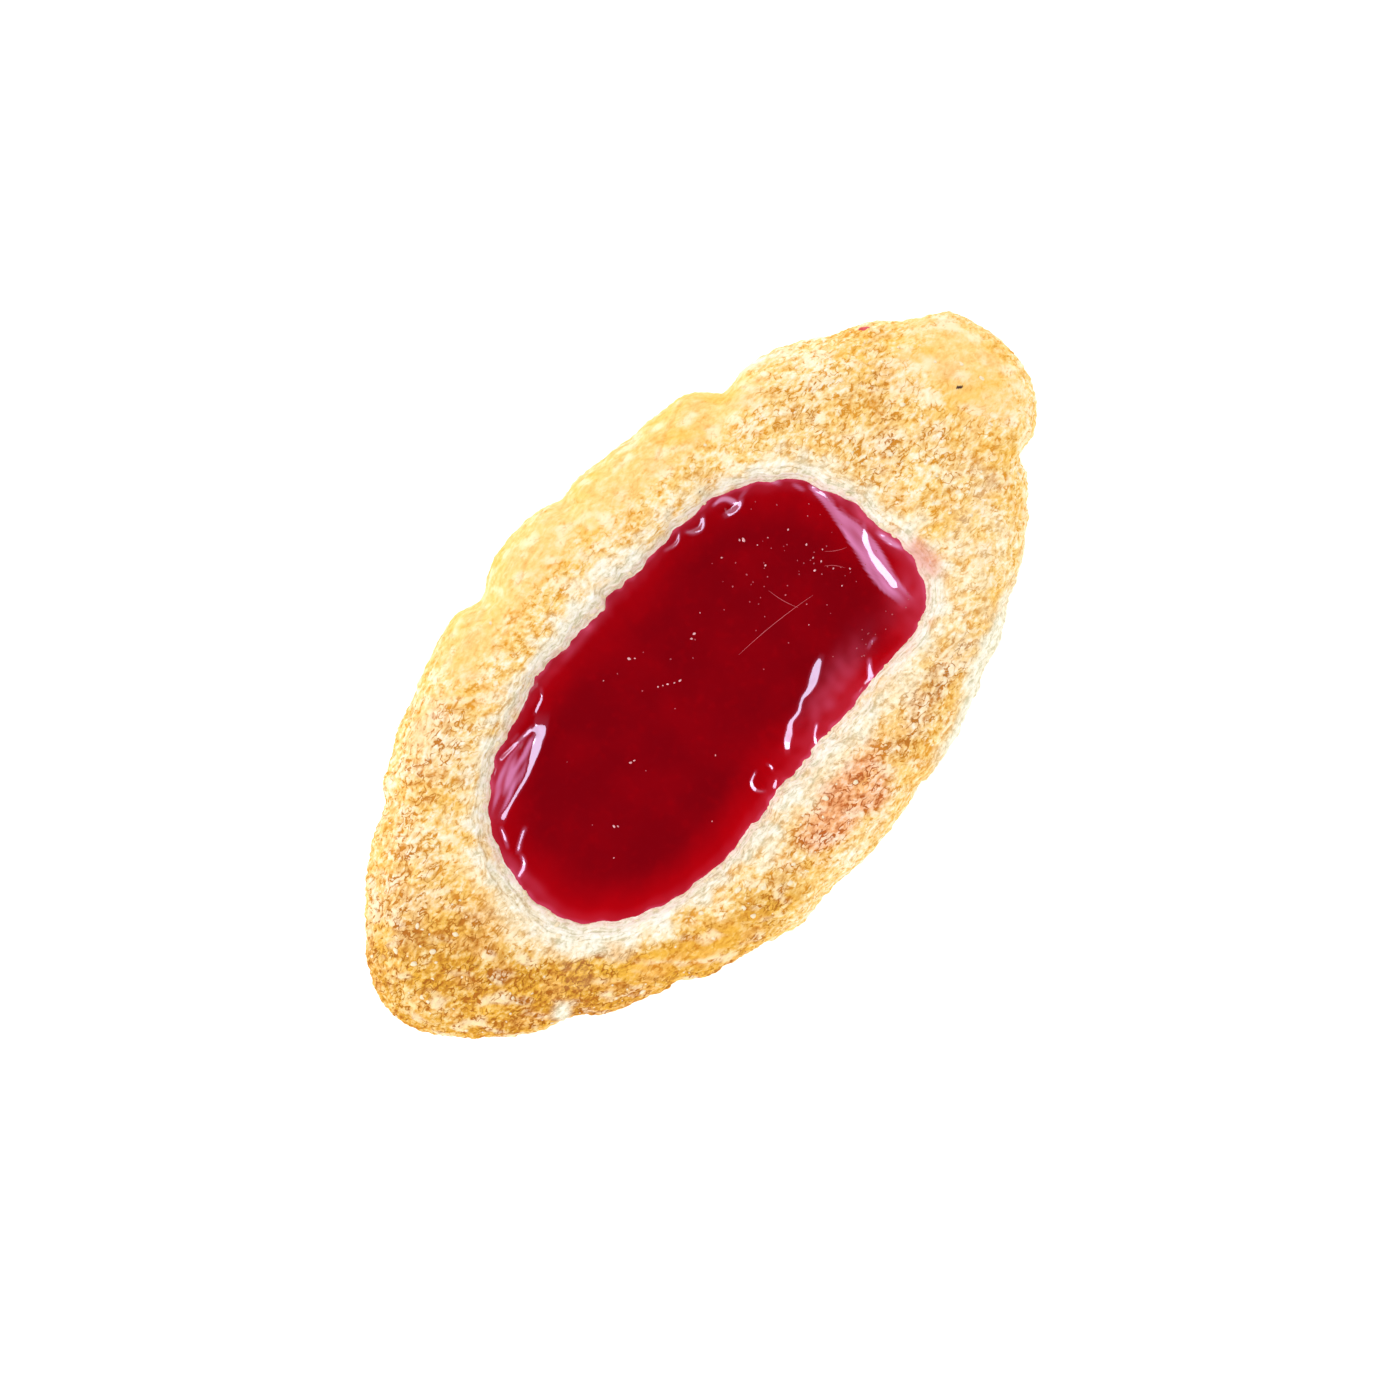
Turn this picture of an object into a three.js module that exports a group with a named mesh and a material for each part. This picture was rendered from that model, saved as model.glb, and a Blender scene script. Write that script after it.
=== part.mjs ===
// Barquette biscuit: a boat-shaped sponge biscuit with a well of set red jam in its top.
// Millimetres, +Z up. The origin is on the flat underside, at the middle of the length and width.
// +X runs along the boat to its lobed tip, and +Y to the side where the crust is smoothest.

import * as THREE from 'three';
import { LoftGeometry } from 'three/addons/geometries/LoftGeometry.js';

// The boat, seen from above.
const LENGTH = 66;
const WIDTH = 34.6;
const SIDE_RADIUS = 45;

// The boat, seen from the side. The side stands out furthest at the belly.
const HEIGHT = 11.5;
const BELLY_HEIGHT = 7.2;
const BELLY_SHEER = 0.9;
const CROWN_SHEER = 2.2;
const RIM_ROUND = 5;
const RIM_SHARE = 0.55;
const RIM_STEPS = 6;

// The jam, seen from above: an oblong whose four corners are rounded unequally.
const JAM_CENTRE = { x: -1.2, y: -0.2 };
const JAM_HALF_LENGTH = 18.3;
const JAM_HALF_WIDTH = 9.4;
const JAM_CORNER = { upperRight: 2.6, upperLeft: 2.3, lowerLeft: 2.9, lowerRight: 4.3 };
const JAM_LEVEL = 9.3;

// The well that holds the jam. Its wall starts on the crust, outside the jam's edge,
// and the jam's solid keeps clear of the wall and the bed by the fitting gap.
const WALL_WIDTH = 1.6;
const WALL_TOP_DROP = 0.25;
const WELL_FLOOR = 6;
const FLOOR_INSET = 5.5;
const FITTING_GAP = 0.4;

// The jam creeps up the wall at its lower right and slumps away from it at its upper left.
const CREEP_DIRECTION = { x: 0.67, y: -0.74 };
const CREEP_HEIGHT = 0.5;
const CREEP_WIDTH = 1.3;

// Samples round each ring, and where the rings lie: across the crust from the rim to the well,
// down the wall and down the bed, each as a share of that stretch, and on top of the jam,
// as distances inside its edge.
const ROUND = 156;
const FIELD_SHARES = [1 / 3, 2 / 3, 1];
const WALL_SHARES = [0.65, 0.3, 0];
const BED_SHARES = [0.15, 0.35, 0.65, 1];
const JAM_TOP_INSETS = [0.4, 1.3, 2.6, 4.6];

// The foot and flank of the side, from the flat underside to the belly:
// how far each level lies inside the belly, and its share of the belly's height.
const FLANK = [
  { inset: 4.2, level: 0 },
  { inset: 3.3, level: 0.07 },
  { inset: 2.3, level: 0.28 },
  { inset: 1.15, level: 0.58 },
  { inset: 0.25, level: 0.86 },
];

// Where the batter ran out into a lobe or stayed back in a notch along the edge: the bearing
// from the boat's middle in degrees, the reach along the edge, and how far out it stands.
const EDGE_LOBES = [
  { bearing: 8, reach: 2, out: 0.5 },
  { bearing: 16, reach: 1.5, out: 0.4 },
  { bearing: 30, reach: 4, out: 0.2 },
  { bearing: 39, reach: 1.5, out: -1.1 },
  { bearing: 65, reach: 6, out: -0.5 },
  { bearing: 80, reach: 1, out: -0.5 },
  { bearing: 111, reach: 1.5, out: -0.9 },
  { bearing: 130, reach: 4, out: 0.2 },
  { bearing: 149, reach: 1, out: 0.2 },
  { bearing: 153, reach: 1, out: -0.3 },
  { bearing: 187, reach: 2.5, out: -0.5 },
  { bearing: 202, reach: 2, out: -0.7 },
  { bearing: 212, reach: 2, out: -0.3 },
  { bearing: 218, reach: 1, out: -0.5 },
  { bearing: 244, reach: 2, out: 0.4 },
  { bearing: 286, reach: 1, out: -0.3 },
  { bearing: 314, reach: 2, out: -0.3 },
  { bearing: 326, reach: 2, out: -0.3 },
  { bearing: 343, reach: 4, out: -0.6 },
  { bearing: 346, reach: 1, out: -0.8 },
];
// A lobe fades over this distance inside the edge, and a notch also dents the crust behind it.
const LOBE_FADE = 3;
const LOBE_DENT = 0.45;

// The slow swell of the baked crust: the height of each wave and its length along X and Y.
const SWELL = [
  { height: 0.13, alongX: 23, alongY: 15, phase: 0.6 },
  { height: 0.09, alongX: -13, alongY: 19, phase: 2.1 },
  { height: 0.06, alongX: 9.1, alongY: -7.7, phase: 4.0 },
  { height: 0.04, alongX: 6.3, alongY: 5.2, phase: 1.2 },
];

const halfLength = LENGTH / 2;
const sideCentreY = WIDTH / 2 - SIDE_RADIUS;
// Each tip is an arc that touches both side arcs and the end of the length.
const tipRadius =
  (halfLength ** 2 + sideCentreY ** 2 - SIDE_RADIUS ** 2) / (2 * (halfLength - SIDE_RADIUS));
const tipCentreX = halfLength - tipRadius;
const joinAngle = Math.atan2(-sideCentreY, tipCentreX);

function boatOutline() {
  const outline = new THREE.Shape();
  outline.absarc(tipCentreX, 0, tipRadius, -joinAngle, joinAngle, false);
  outline.absarc(0, sideCentreY, SIDE_RADIUS, joinAngle, Math.PI - joinAngle, false);
  outline.absarc(-tipCentreX, 0, tipRadius, Math.PI - joinAngle, Math.PI + joinAngle, false);
  outline.absarc(0, -sideCentreY, SIDE_RADIUS, Math.PI + joinAngle, 2 * Math.PI - joinAngle, false);
  return outline;
}

// How far the jam's edge lies from its centre along a direction: a superellipse
// with an exponent of its own in each quarter, larger for a squarer corner.
function jamReach(angle) {
  const along = Math.cos(angle);
  const across = Math.sin(angle);
  const side = across >= 0 ? 'upper' : 'lower';
  const corner = JAM_CORNER[side + (along >= 0 ? 'Right' : 'Left')];
  const sum =
    Math.abs(along / JAM_HALF_LENGTH) ** corner + Math.abs(across / JAM_HALF_WIDTH) ** corner;
  return sum ** (-1 / corner);
}

// How far the edge stands out at a point of the outline, by the lobes and notches near it.
function lobeAt(point) {
  let out = 0;
  for (const lobe of EDGE_LOBES) {
    const turn = point.angle() - THREE.MathUtils.degToRad(lobe.bearing);
    const distance = point.length() * Math.atan2(Math.sin(turn), Math.cos(turn));
    out += lobe.out * Math.exp(-((distance / lobe.reach) ** 2));
  }
  return out;
}

// One spoke for each sample: a point of the outline, the way out from it and its lobe, and on
// the ray from the jam's centre to it, how far the jam reaches and how wide the rim's round is.
function spokesAround(outline) {
  const spokes = [];
  for (let i = 0; i < ROUND; i++) {
    const point = outline.getPoint(i / ROUND);
    const tangent = outline.getTangent(i / ROUND);
    const ray = new THREE.Vector2(point.x - JAM_CENTRE.x, point.y - JAM_CENTRE.y);
    const reach = jamReach(ray.angle());
    const crustWidth = ray.length() - reach;
    spokes.push({
      point,
      out: new THREE.Vector2(tangent.y, -tangent.x),
      lobe: lobeAt(point),
      ray: ray.normalize(),
      reach,
      rimWidth: Math.min(RIM_ROUND, RIM_SHARE * crustWidth),
    });
  }
  return spokes;
}

function swellAt(x, y) {
  let height = 0;
  for (const wave of SWELL) {
    const turn = 2 * Math.PI * (x / wave.alongX + y / wave.alongY) + wave.phase;
    height += wave.height * Math.sin(turn);
  }
  return height;
}

function bellyAt(x) {
  return BELLY_HEIGHT - BELLY_SHEER * (x / halfLength) ** 2;
}

// The crust's height where nothing rounds it off, dented behind a notch of the edge.
function crustAt(x, y, shift = 0) {
  const crown = HEIGHT - CROWN_SHEER * (x / halfLength) ** 2;
  return crown + swellAt(x, y) + LOBE_DENT * Math.min(shift, 0);
}

// A point of the side: brought in from the outline by an inset, and moved out with its lobe.
function sidePoint({ point, out, lobe }, inwards, inset, heightAt) {
  const shift = lobe * Math.exp(-inset / LOBE_FADE);
  const x = point.x + inwards.x * inset + out.x * shift;
  const y = point.y + inwards.y * inset + out.y * shift;
  return new THREE.Vector3(x, y, heightAt(x, y, shift));
}

// A ring of the flank lies square inside the belly.
function flankRing(spokes, inset, level) {
  const heightAt = (x) => level * bellyAt(x);
  return spokes.map((spoke) => sidePoint(spoke, spoke.out.clone().negate(), inset, heightAt));
}

// A ring of the rounded rim lies on the rays to the jam, so that no two rings cross.
function rimRing(spokes, turn) {
  const heightAt = (x, y, shift) =>
    bellyAt(x) + (crustAt(x, y, shift) - bellyAt(x)) * Math.sin(turn);
  return spokes.map((spoke) => {
    const inset = spoke.rimWidth * (1 - Math.cos(turn));
    return sidePoint(spoke, spoke.ray.clone().negate(), inset, heightAt);
  });
}

// The place at a distance outside the jam's edge, or inside it where the distance is negative.
function wellPlace({ ray, reach }, distance) {
  const x = JAM_CENTRE.x + ray.x * (reach + distance);
  const y = JAM_CENTRE.y + ray.y * (reach + distance);
  return new THREE.Vector2(x, y);
}

function wellRing(spokes, distance, heightAt) {
  return spokes.map((spoke) => {
    const { x, y } = wellPlace(spoke, distance);
    return new THREE.Vector3(x, y, heightAt(x, y));
  });
}

// The wall of the well above the jam: an ess from the crust down to the jam's level.
function wallAt(share) {
  return (x, y) => {
    const top = crustAt(x, y) - WALL_TOP_DROP;
    return JAM_LEVEL + (top - JAM_LEVEL) * Math.sin((share * Math.PI) / 2);
  };
}

// The bed under the jam: a bowl from the jam's level down to the floor of the well.
function bedAt(distance) {
  const share = Math.min(-distance / FLOOR_INSET, 1);
  return WELL_FLOOR + (JAM_LEVEL - WELL_FLOOR) * (1 - share) ** 2;
}

// A loft over a hollow ends in a ring that has shrunk to its middle.
function middleRing(height) {
  return Array.from({ length: ROUND }, () => new THREE.Vector3(JAM_CENTRE.x, JAM_CENTRE.y, height));
}

function spongeBoat(spokes) {
  const rings = FLANK.map(({ inset, level }) => flankRing(spokes, inset, level));
  for (let step = 0; step <= RIM_STEPS; step++) {
    rings.push(rimRing(spokes, ((step / RIM_STEPS) * Math.PI) / 2));
  }
  const rim = rings[rings.length - 1];
  for (const share of FIELD_SHARES) {
    rings.push(
      spokes.map((spoke, i) => {
        const wellSide = wellPlace(spoke, WALL_WIDTH);
        const x = THREE.MathUtils.lerp(rim[i].x, wellSide.x, share);
        const y = THREE.MathUtils.lerp(rim[i].y, wellSide.y, share);
        return new THREE.Vector3(x, y, crustAt(x, y) - WALL_TOP_DROP * share ** 2);
      }),
    );
  }
  for (const share of WALL_SHARES) {
    rings.push(wellRing(spokes, WALL_WIDTH * share, wallAt(share)));
  }
  for (const share of BED_SHARES) {
    const distance = -FLOOR_INSET * share;
    rings.push(wellRing(spokes, distance, () => bedAt(distance)));
  }
  rings.push(middleRing(WELL_FLOOR));
  return new LoftGeometry(rings, { closed: true, capStart: true });
}

function creepAt(ray, inset) {
  const facing = ray.x * CREEP_DIRECTION.x + ray.y * CREEP_DIRECTION.y;
  return CREEP_HEIGHT * facing * Math.exp(-inset / CREEP_WIDTH);
}

function jamFilling(spokes) {
  const rings = [];
  for (const share of BED_SHARES.toReversed()) {
    const distance = -FLOOR_INSET * share;
    const bottom = bedAt(distance) + FITTING_GAP;
    rings.push(wellRing(spokes, distance - FITTING_GAP, () => bottom));
  }
  for (const inset of JAM_TOP_INSETS) {
    rings.push(
      spokes.map((spoke) => {
        const creep = creepAt(spoke.ray, inset);
        // Where the jam slumps, its edge draws in as the wall does.
        const { x, y } = wellPlace(spoke, Math.min(creep, 0) - inset);
        return new THREE.Vector3(x, y, JAM_LEVEL + creep);
      }),
    );
  }
  rings.push(middleRing(JAM_LEVEL));
  return new LoftGeometry(rings, { closed: true, capStart: true });
}

const spokes = spokesAround(boatOutline());

const bakedSponge = new THREE.MeshStandardMaterial({
  color: 0xe8bf7c,
  roughness: 0.85,
  metalness: 0,
});
const sponge = new THREE.Mesh(spongeBoat(spokes), bakedSponge);
sponge.name = 'sponge_boat';

const setJam = new THREE.MeshStandardMaterial({ color: 0x8c0010, roughness: 0.12, metalness: 0 });
const jam = new THREE.Mesh(jamFilling(spokes), setJam);
jam.name = 'jam_filling';

const barquette = new THREE.Group();
barquette.add(sponge, jam);

export default barquette;
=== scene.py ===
# Barquette biscuit: a boat-shaped sponge biscuit with a well of set red jam in its top.
# The frame is in metres, +Z up, with +X along the boat to its lobed tip. Shapes are worked out
# in millimetres, as the solids are, and turned to metres where a mesh is made.

import math
import random

import bmesh
import bpy
import numpy as np
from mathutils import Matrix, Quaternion, Vector, noise


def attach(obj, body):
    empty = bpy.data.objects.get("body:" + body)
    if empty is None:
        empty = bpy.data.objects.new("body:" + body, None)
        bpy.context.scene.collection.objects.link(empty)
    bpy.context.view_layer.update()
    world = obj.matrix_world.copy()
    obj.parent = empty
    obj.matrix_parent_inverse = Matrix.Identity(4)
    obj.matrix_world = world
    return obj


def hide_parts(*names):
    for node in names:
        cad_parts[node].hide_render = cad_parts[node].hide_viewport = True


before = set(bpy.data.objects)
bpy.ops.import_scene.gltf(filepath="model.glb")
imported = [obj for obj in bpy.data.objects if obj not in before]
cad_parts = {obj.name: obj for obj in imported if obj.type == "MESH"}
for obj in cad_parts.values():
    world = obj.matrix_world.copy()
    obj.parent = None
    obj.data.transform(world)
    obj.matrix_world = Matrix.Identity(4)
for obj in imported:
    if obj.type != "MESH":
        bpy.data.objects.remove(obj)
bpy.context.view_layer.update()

# Vector noise starts from the clock unless it has a seed, and every run has to give one crust.
noise.seed_set(1)


# The sponge boat
# A dry sponge of egg, sugar and flour, piped into a boat-shaped tin and baked. Its side takes
# the tin's smooth golden face, its top swells into a grainy crust that browns at the tips, and
# round the pressed well the crumb stays pale and flaky.

MM = 0.001

HALF_LENGTH = 33.0
HALF_WIDTH = 17.3
SIDE_RADIUS = 45.0
CROWN_HEIGHT = 11.5
CROWN_SHEER = 2.2
BELLY_HEIGHT = 7.2
BELLY_SHEER = 0.9
RIM_ROUND = 5.0
RIM_SHARE = 0.55
WALL_WIDTH = 1.6
WALL_TOP_DROP = 0.25
WELL_FLOOR = 6.0
BED_WIDTH = 5.5

JAM_CENTRE = (-1.2, -0.2)
JAM_HALF_LENGTH = 18.3
JAM_HALF_WIDTH = 9.4
JAM_CORNERS = {"upper right": 2.6, "upper left": 2.3, "lower left": 2.9, "lower right": 4.3}
JAM_LEVEL = 9.3

# Bulges and nicks of the jam's edge: bearing from its centre in degrees, reach, and how far out.
JAM_EDGE_BUMPS = (
    (10, 2.5, -0.5),
    (22, 1.5, -0.3),
    (35, 1.0, 0.25),
    (67, 3.0, -0.4),
    (82, 0.6, 0.3),
    (98, 2.5, -0.3),
    (128, 2.5, 0.15),
    (147, 2.0, 0.1),
    (162, 2.0, 0.2),
    (190, 2.5, 0.4),
    (205, 1.0, 0.3),
    (219, 3.0, 0.55),
    (235, 1.5, 0.3),
    (264, 1.5, -0.3),
    (294, 3.0, -0.5),
    (316, 2.0, -0.65),
    (326, 1.0, 0.3),
    (335, 1.5, 0.3),
    (354, 2.0, -0.7),
)

# The flank's profile: how far inside the belly it lies, at shares of the belly's height.
FLANK_INSETS = (4.2, 3.3, 2.3, 1.15, 0.25, 0.0)
FLANK_LEVELS = (0.0, 0.07, 0.28, 0.58, 0.86, 1.0)

# Lobes and notches of the edge: bearing from the middle in degrees, reach, and how far out.
# They are rounded from a least-squares fit to the edge in the photo, not chosen by hand.
EDGE_LOBES = (
    (8, 2.0, 0.5),
    (16, 1.5, 0.4),
    (30, 4.0, 0.2),
    (39, 1.5, -1.1),
    (65, 6.0, -0.5),
    (80, 1.0, -0.5),
    (111, 1.5, -0.9),
    (130, 4.0, 0.2),
    (149, 1.0, 0.2),
    (153, 1.0, -0.3),
    (187, 2.5, -0.5),
    (202, 2.0, -0.7),
    (212, 2.0, -0.3),
    (218, 1.0, -0.5),
    (244, 2.0, 0.4),
    (286, 1.0, -0.3),
    (314, 2.0, -0.3),
    (326, 2.0, -0.3),
    (343, 4.0, -0.6),
    (346, 1.0, -0.8),
)
LOBE_FADE = 3.0
LOBE_DENT = 0.45

# The slow swell of the crust: each wave's height, and its length along X and Y, and its phase.
SWELL = ((0.13, 23.0, 15.0, 0.6), (0.09, -13.0, 19.0, 2.1), (0.06, 9.1, -7.7, 4.0), (0.04, 6.3, 5.2, 1.2))

# The mesh: spokes round the boat, and rings from the foot over the crust down into the well.
# It is made finer than it is kept, and thinned out where it is plain.
SPOKES = 1300
RINGS = 215
UNDERSIDE_RINGS = 5
FLANK_DENSITY = 0.4
BURIED_DEPTH = 1.6
KEPT_TRIANGLES = 197000
DENSITY_BLEND = 2.0

# Steps that each stretch of a section is drawn with, before its rings are spaced.
CURVE_STEPS = 61
WALL_STEPS = 31
BURIED_STEPS = 13


def smooth(low, high, value):
    """Rise smoothly from 0 where the value is at low to 1 where it is at high."""
    share = np.clip((value - low) / (high - low), 0.0, 1.0)
    return share * share * (3.0 - 2.0 * share)


def boat_outline(count):
    """Places at even steps round the belly's outline, and the way out from each."""
    side_centre = HALF_WIDTH - SIDE_RADIUS
    tip_radius = HALF_LENGTH**2 + side_centre**2 - SIDE_RADIUS**2
    tip_radius /= 2 * (HALF_LENGTH - SIDE_RADIUS)
    tip_centre = HALF_LENGTH - tip_radius
    join = math.atan2(-side_centre, tip_centre)
    arcs = (
        (tip_centre, 0.0, tip_radius, -join, join),
        (0.0, side_centre, SIDE_RADIUS, join, math.pi - join),
        (-tip_centre, 0.0, tip_radius, math.pi - join, math.pi + join),
        (0.0, -side_centre, SIDE_RADIUS, math.pi + join, 2 * math.pi - join),
    )
    lengths = [radius * (end - start) for _, _, radius, start, end in arcs]
    places, ways = [], []
    for step in range(count):
        travelled = sum(lengths) * step / count
        arc = 0
        while travelled > lengths[arc]:
            travelled -= lengths[arc]
            arc += 1
        centre_x, centre_y, radius, start, _ = arcs[arc]
        angle = start + travelled / radius
        way = (math.cos(angle), math.sin(angle))
        ways.append(way)
        places.append((centre_x + radius * way[0], centre_y + radius * way[1]))
    return np.array(places), np.array(ways)


def jam_reach(x, y):
    """How far the jam's edge lies from its centre, in the direction of a place."""
    angle = np.arctan2(y - JAM_CENTRE[1], x - JAM_CENTRE[0])
    along, across = np.cos(angle), np.sin(angle)
    upper = np.where(along >= 0, JAM_CORNERS["upper right"], JAM_CORNERS["upper left"])
    lower = np.where(along >= 0, JAM_CORNERS["lower right"], JAM_CORNERS["lower left"])
    corner = np.where(across >= 0, upper, lower)
    total = np.abs(along / JAM_HALF_LENGTH) ** corner + np.abs(across / JAM_HALF_WIDTH) ** corner
    wander = 0.09 * np.sin(23 * angle + 1.0) * np.sin(9 * angle) + 0.05 * np.sin(61 * angle)
    reach = total ** (-1 / corner)
    for degrees, width, height in JAM_EDGE_BUMPS:
        turn = angle - math.radians(degrees)
        aside = reach * np.arctan2(np.sin(turn), np.cos(turn))
        wander = wander + height * np.exp(-((aside / width) ** 2))
    return reach + wander


def well_gap(x, y):
    """How far a place lies outside the jam's edge, or less than nothing inside it."""
    return np.hypot(x - JAM_CENTRE[0], y - JAM_CENTRE[1]) - jam_reach(x, y)


def edge_lobes(places):
    """How far the edge stands out at each place of the outline."""
    bearing = np.arctan2(places[:, 1], places[:, 0])
    distance = np.hypot(places[:, 0], places[:, 1])
    out = np.zeros(len(places))
    for degrees, reach, height in EDGE_LOBES:
        turn = bearing - math.radians(degrees)
        aside = distance * np.arctan2(np.sin(turn), np.cos(turn))
        out += height * np.exp(-((aside / reach) ** 2))
    return out


def belly_height(x):
    return BELLY_HEIGHT - BELLY_SHEER * (x / HALF_LENGTH) ** 2


def crust_height(x, y, shift):
    """The crust's height where nothing rounds it off, dented behind a notch of the edge."""
    height = CROWN_HEIGHT - CROWN_SHEER * (x / HALF_LENGTH) ** 2 + LOBE_DENT * np.minimum(shift, 0)
    for wave, along_x, along_y, phase in SWELL:
        height = height + wave * np.sin(2 * math.pi * (x / along_x + y / along_y) + phase)
    return height


def bed_height(gap):
    """The bed under the jam, by its distance from the jam's edge, which is negative inside."""
    share = np.clip(-gap / BED_WIDTH, 0, 1)
    return WELL_FLOOR + (JAM_LEVEL - WELL_FLOOR) * (1 - share) ** 2


def boat_sections():
    """Rings of the smooth boat from its foot, over the crust, to just under the jam."""
    places, ways = boat_outline(SPOKES)
    lobes = edge_lobes(places)
    rays = places - np.array(JAM_CENTRE)
    lengths = np.hypot(rays[:, 0], rays[:, 1])
    rays /= lengths[:, None]
    reach = jam_reach(places[:, 0], places[:, 1])
    rim_width = np.minimum(RIM_ROUND, RIM_SHARE * (lengths - reach))
    rings = []

    def side_ring(inwards, inset, height_at):
        shift = lobes * np.exp(-inset / LOBE_FADE)
        plan = places + inwards * np.reshape(inset, (-1, 1)) + ways * shift[:, None]
        rings.append(np.column_stack([plan, height_at(plan[:, 0], plan[:, 1], shift)]))

    # The flank's corners are rounded by averaging its profile over a tenth of its height.
    levels = np.linspace(0, 1, CURVE_STEPS)
    insets = np.interp(levels, FLANK_LEVELS, FLANK_INSETS)
    beyond = CURVE_STEPS // 20
    window = 2 * beyond + 1
    padded = np.concatenate([np.full(beyond, insets[0]), insets, np.full(beyond, insets[-1])])
    insets = np.convolve(padded, np.full(window, 1 / window), mode="valid")
    for level, inset in zip(levels, insets):
        side_ring(-ways, np.full(SPOKES, inset), lambda x, y, shift: level * belly_height(x))
    for turn in np.linspace(0, math.pi / 2, CURVE_STEPS)[1:]:
        inset = rim_width * (1 - math.cos(turn))
        side_ring(
            -rays,
            inset,
            lambda x, y, shift: belly_height(x)
            + (crust_height(x, y, shift) - belly_height(x)) * math.sin(turn),
        )
    rim = rings[-1][:, :2]
    last_shift = lobes * np.exp(-rim_width / LOBE_FADE)
    wall_top = np.array(JAM_CENTRE) + rays * (reach + WALL_WIDTH)[:, None]
    for share in np.linspace(0, 1, CURVE_STEPS)[1:]:
        plan = rim + (wall_top - rim) * share
        height = crust_height(plan[:, 0], plan[:, 1], last_shift * (1 - share))
        rings.append(np.column_stack([plan, height - WALL_TOP_DROP * share**2]))
    for share in np.linspace(1, 0, WALL_STEPS)[1:]:
        plan = np.array(JAM_CENTRE) + rays * (reach + WALL_WIDTH * share)[:, None]
        top = crust_height(plan[:, 0], plan[:, 1], 0) - WALL_TOP_DROP
        height = JAM_LEVEL + (top - JAM_LEVEL) * math.sin(share * math.pi / 2)
        rings.append(np.column_stack([plan, height]))
    for gap in np.linspace(0, -BURIED_DEPTH, BURIED_STEPS)[1:]:
        plan = np.array(JAM_CENTRE) + rays * (reach + gap)[:, None]
        rings.append(np.column_stack([plan, np.full(SPOKES, bed_height(gap))]))
    return np.array(rings)


def spaced_rings(sections, count):
    """Space the rings evenly along every spoke, more loosely on the flank than on the crust."""
    steps = np.linalg.norm(np.diff(sections, axis=0), axis=2)
    top = smooth(BELLY_HEIGHT - DENSITY_BLEND, BELLY_HEIGHT, sections[1:, :, 2])
    steps = steps * (FLANK_DENSITY + (1 - FLANK_DENSITY) * top)
    travelled = np.concatenate([np.zeros((1, SPOKES)), np.cumsum(steps, axis=0)])
    spaced = np.empty((count, SPOKES, 3))
    for spoke in range(SPOKES):
        wanted = np.linspace(0, travelled[-1, spoke], count)
        for axis in range(3):
            spaced[:, spoke, axis] = np.interp(wanted, travelled[:, spoke], sections[:, spoke, axis])
    return spaced


def ring_normals(rings):
    """The way out of the surface at each point of a stack of closed rings."""
    around = np.roll(rings, -1, axis=1) - np.roll(rings, 1, axis=1)
    along = np.gradient(rings, axis=0)
    normals = np.cross(around, along)
    return normals / np.maximum(np.linalg.norm(normals, axis=2, keepdims=True), 1e-9)


# The grain lies in short flakes, a little longer one way than across.
GRAIN_WAY = (0.669, -0.743)
GRAIN_STRETCH = 1.7

# Relief of the crust: the size of each kind of bump and its height.
LUMP_SIZE, LUMP_HEIGHT = 4.6, 0.22
BUMP_SIZE, BUMP_HEIGHT = 1.5, 0.15
GRAIN_SIZE, FINE_GRAIN_SIZE, GRAIN_HEIGHT = 0.50, 0.30, 0.21
GRAIN_WARP = 0.16
FLAKE_LENGTH, FLAKE_WIDTH, FLAKE_HEIGHT = 2.4, 0.40, 0.22
FINE_FLAKE_LENGTH, FINE_FLAKE_WIDTH = 1.1, 0.20
RAG_SIZE, RAG_HEIGHT = 0.9, 0.14
FINE_RAG_SIZE, FINE_RAG_HEIGHT = 0.35, 0.09
TIN_PIT_SIZE, TIN_PIT_DEPTH = 1.1, 0.10
WATERLINE_WIDTH = 0.6

# The crust ends and the tin's face starts this far below the belly's height.
CRUST_ENDS, TIN_STARTS = 0.2, 2.6

# Heights where the rags of the baked edge start, are full, begin to fade and end.
RAGGED_LEVELS = (3.5, 6.5, 8.0, 9.5)


def noise_at(points, size, seed):
    """Smooth noise, roughly from -1 to 1, with bumps about as wide as the given size."""
    return np.array([noise.noise(place) for place in (points / size + seed).tolist()])


def in_grain(points):
    """The points as the grain sees them: drawn together along the way that the flakes lie."""
    along = points[:, 0] * GRAIN_WAY[0] + points[:, 1] * GRAIN_WAY[1]
    across = points[:, 1] * GRAIN_WAY[0] - points[:, 0] * GRAIN_WAY[1]
    return np.column_stack([along / GRAIN_STRETCH, across, points[:, 2]])


def crumb_grain(points):
    """The grain of the crumb, from 0 in its crevices to 1 on top of its grains."""
    places = in_grain(points)
    warp = [noise.noise_vector(place) for place in (places / 0.7 + 40).tolist()]
    places = places + GRAIN_WARP * np.array(warp)
    coarse = 0.5 + 0.85 * noise_at(places, GRAIN_SIZE, 11)
    fine = smooth(-0.05, 0.38, np.abs(noise_at(places, FINE_GRAIN_SIZE, 23)))
    return np.clip(0.62 * coarse + 0.38 * fine, 0, 1)


def along_flakes(points, gap, length, width):
    """The points as the flakes see them: long thin flakes, a little aslant round the well."""
    angle = np.arctan2(points[:, 1] - JAM_CENTRE[1], points[:, 0] - JAM_CENTRE[0])
    around = (JAM_HALF_LENGTH + JAM_HALF_WIDTH) / 2 / length
    slant = (gap + 0.5 * np.sin(3 * angle + 1) + 0.5 * points[:, 2]) / width
    return np.column_stack([np.cos(angle) * around, np.sin(angle) * around, slant])


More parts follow.
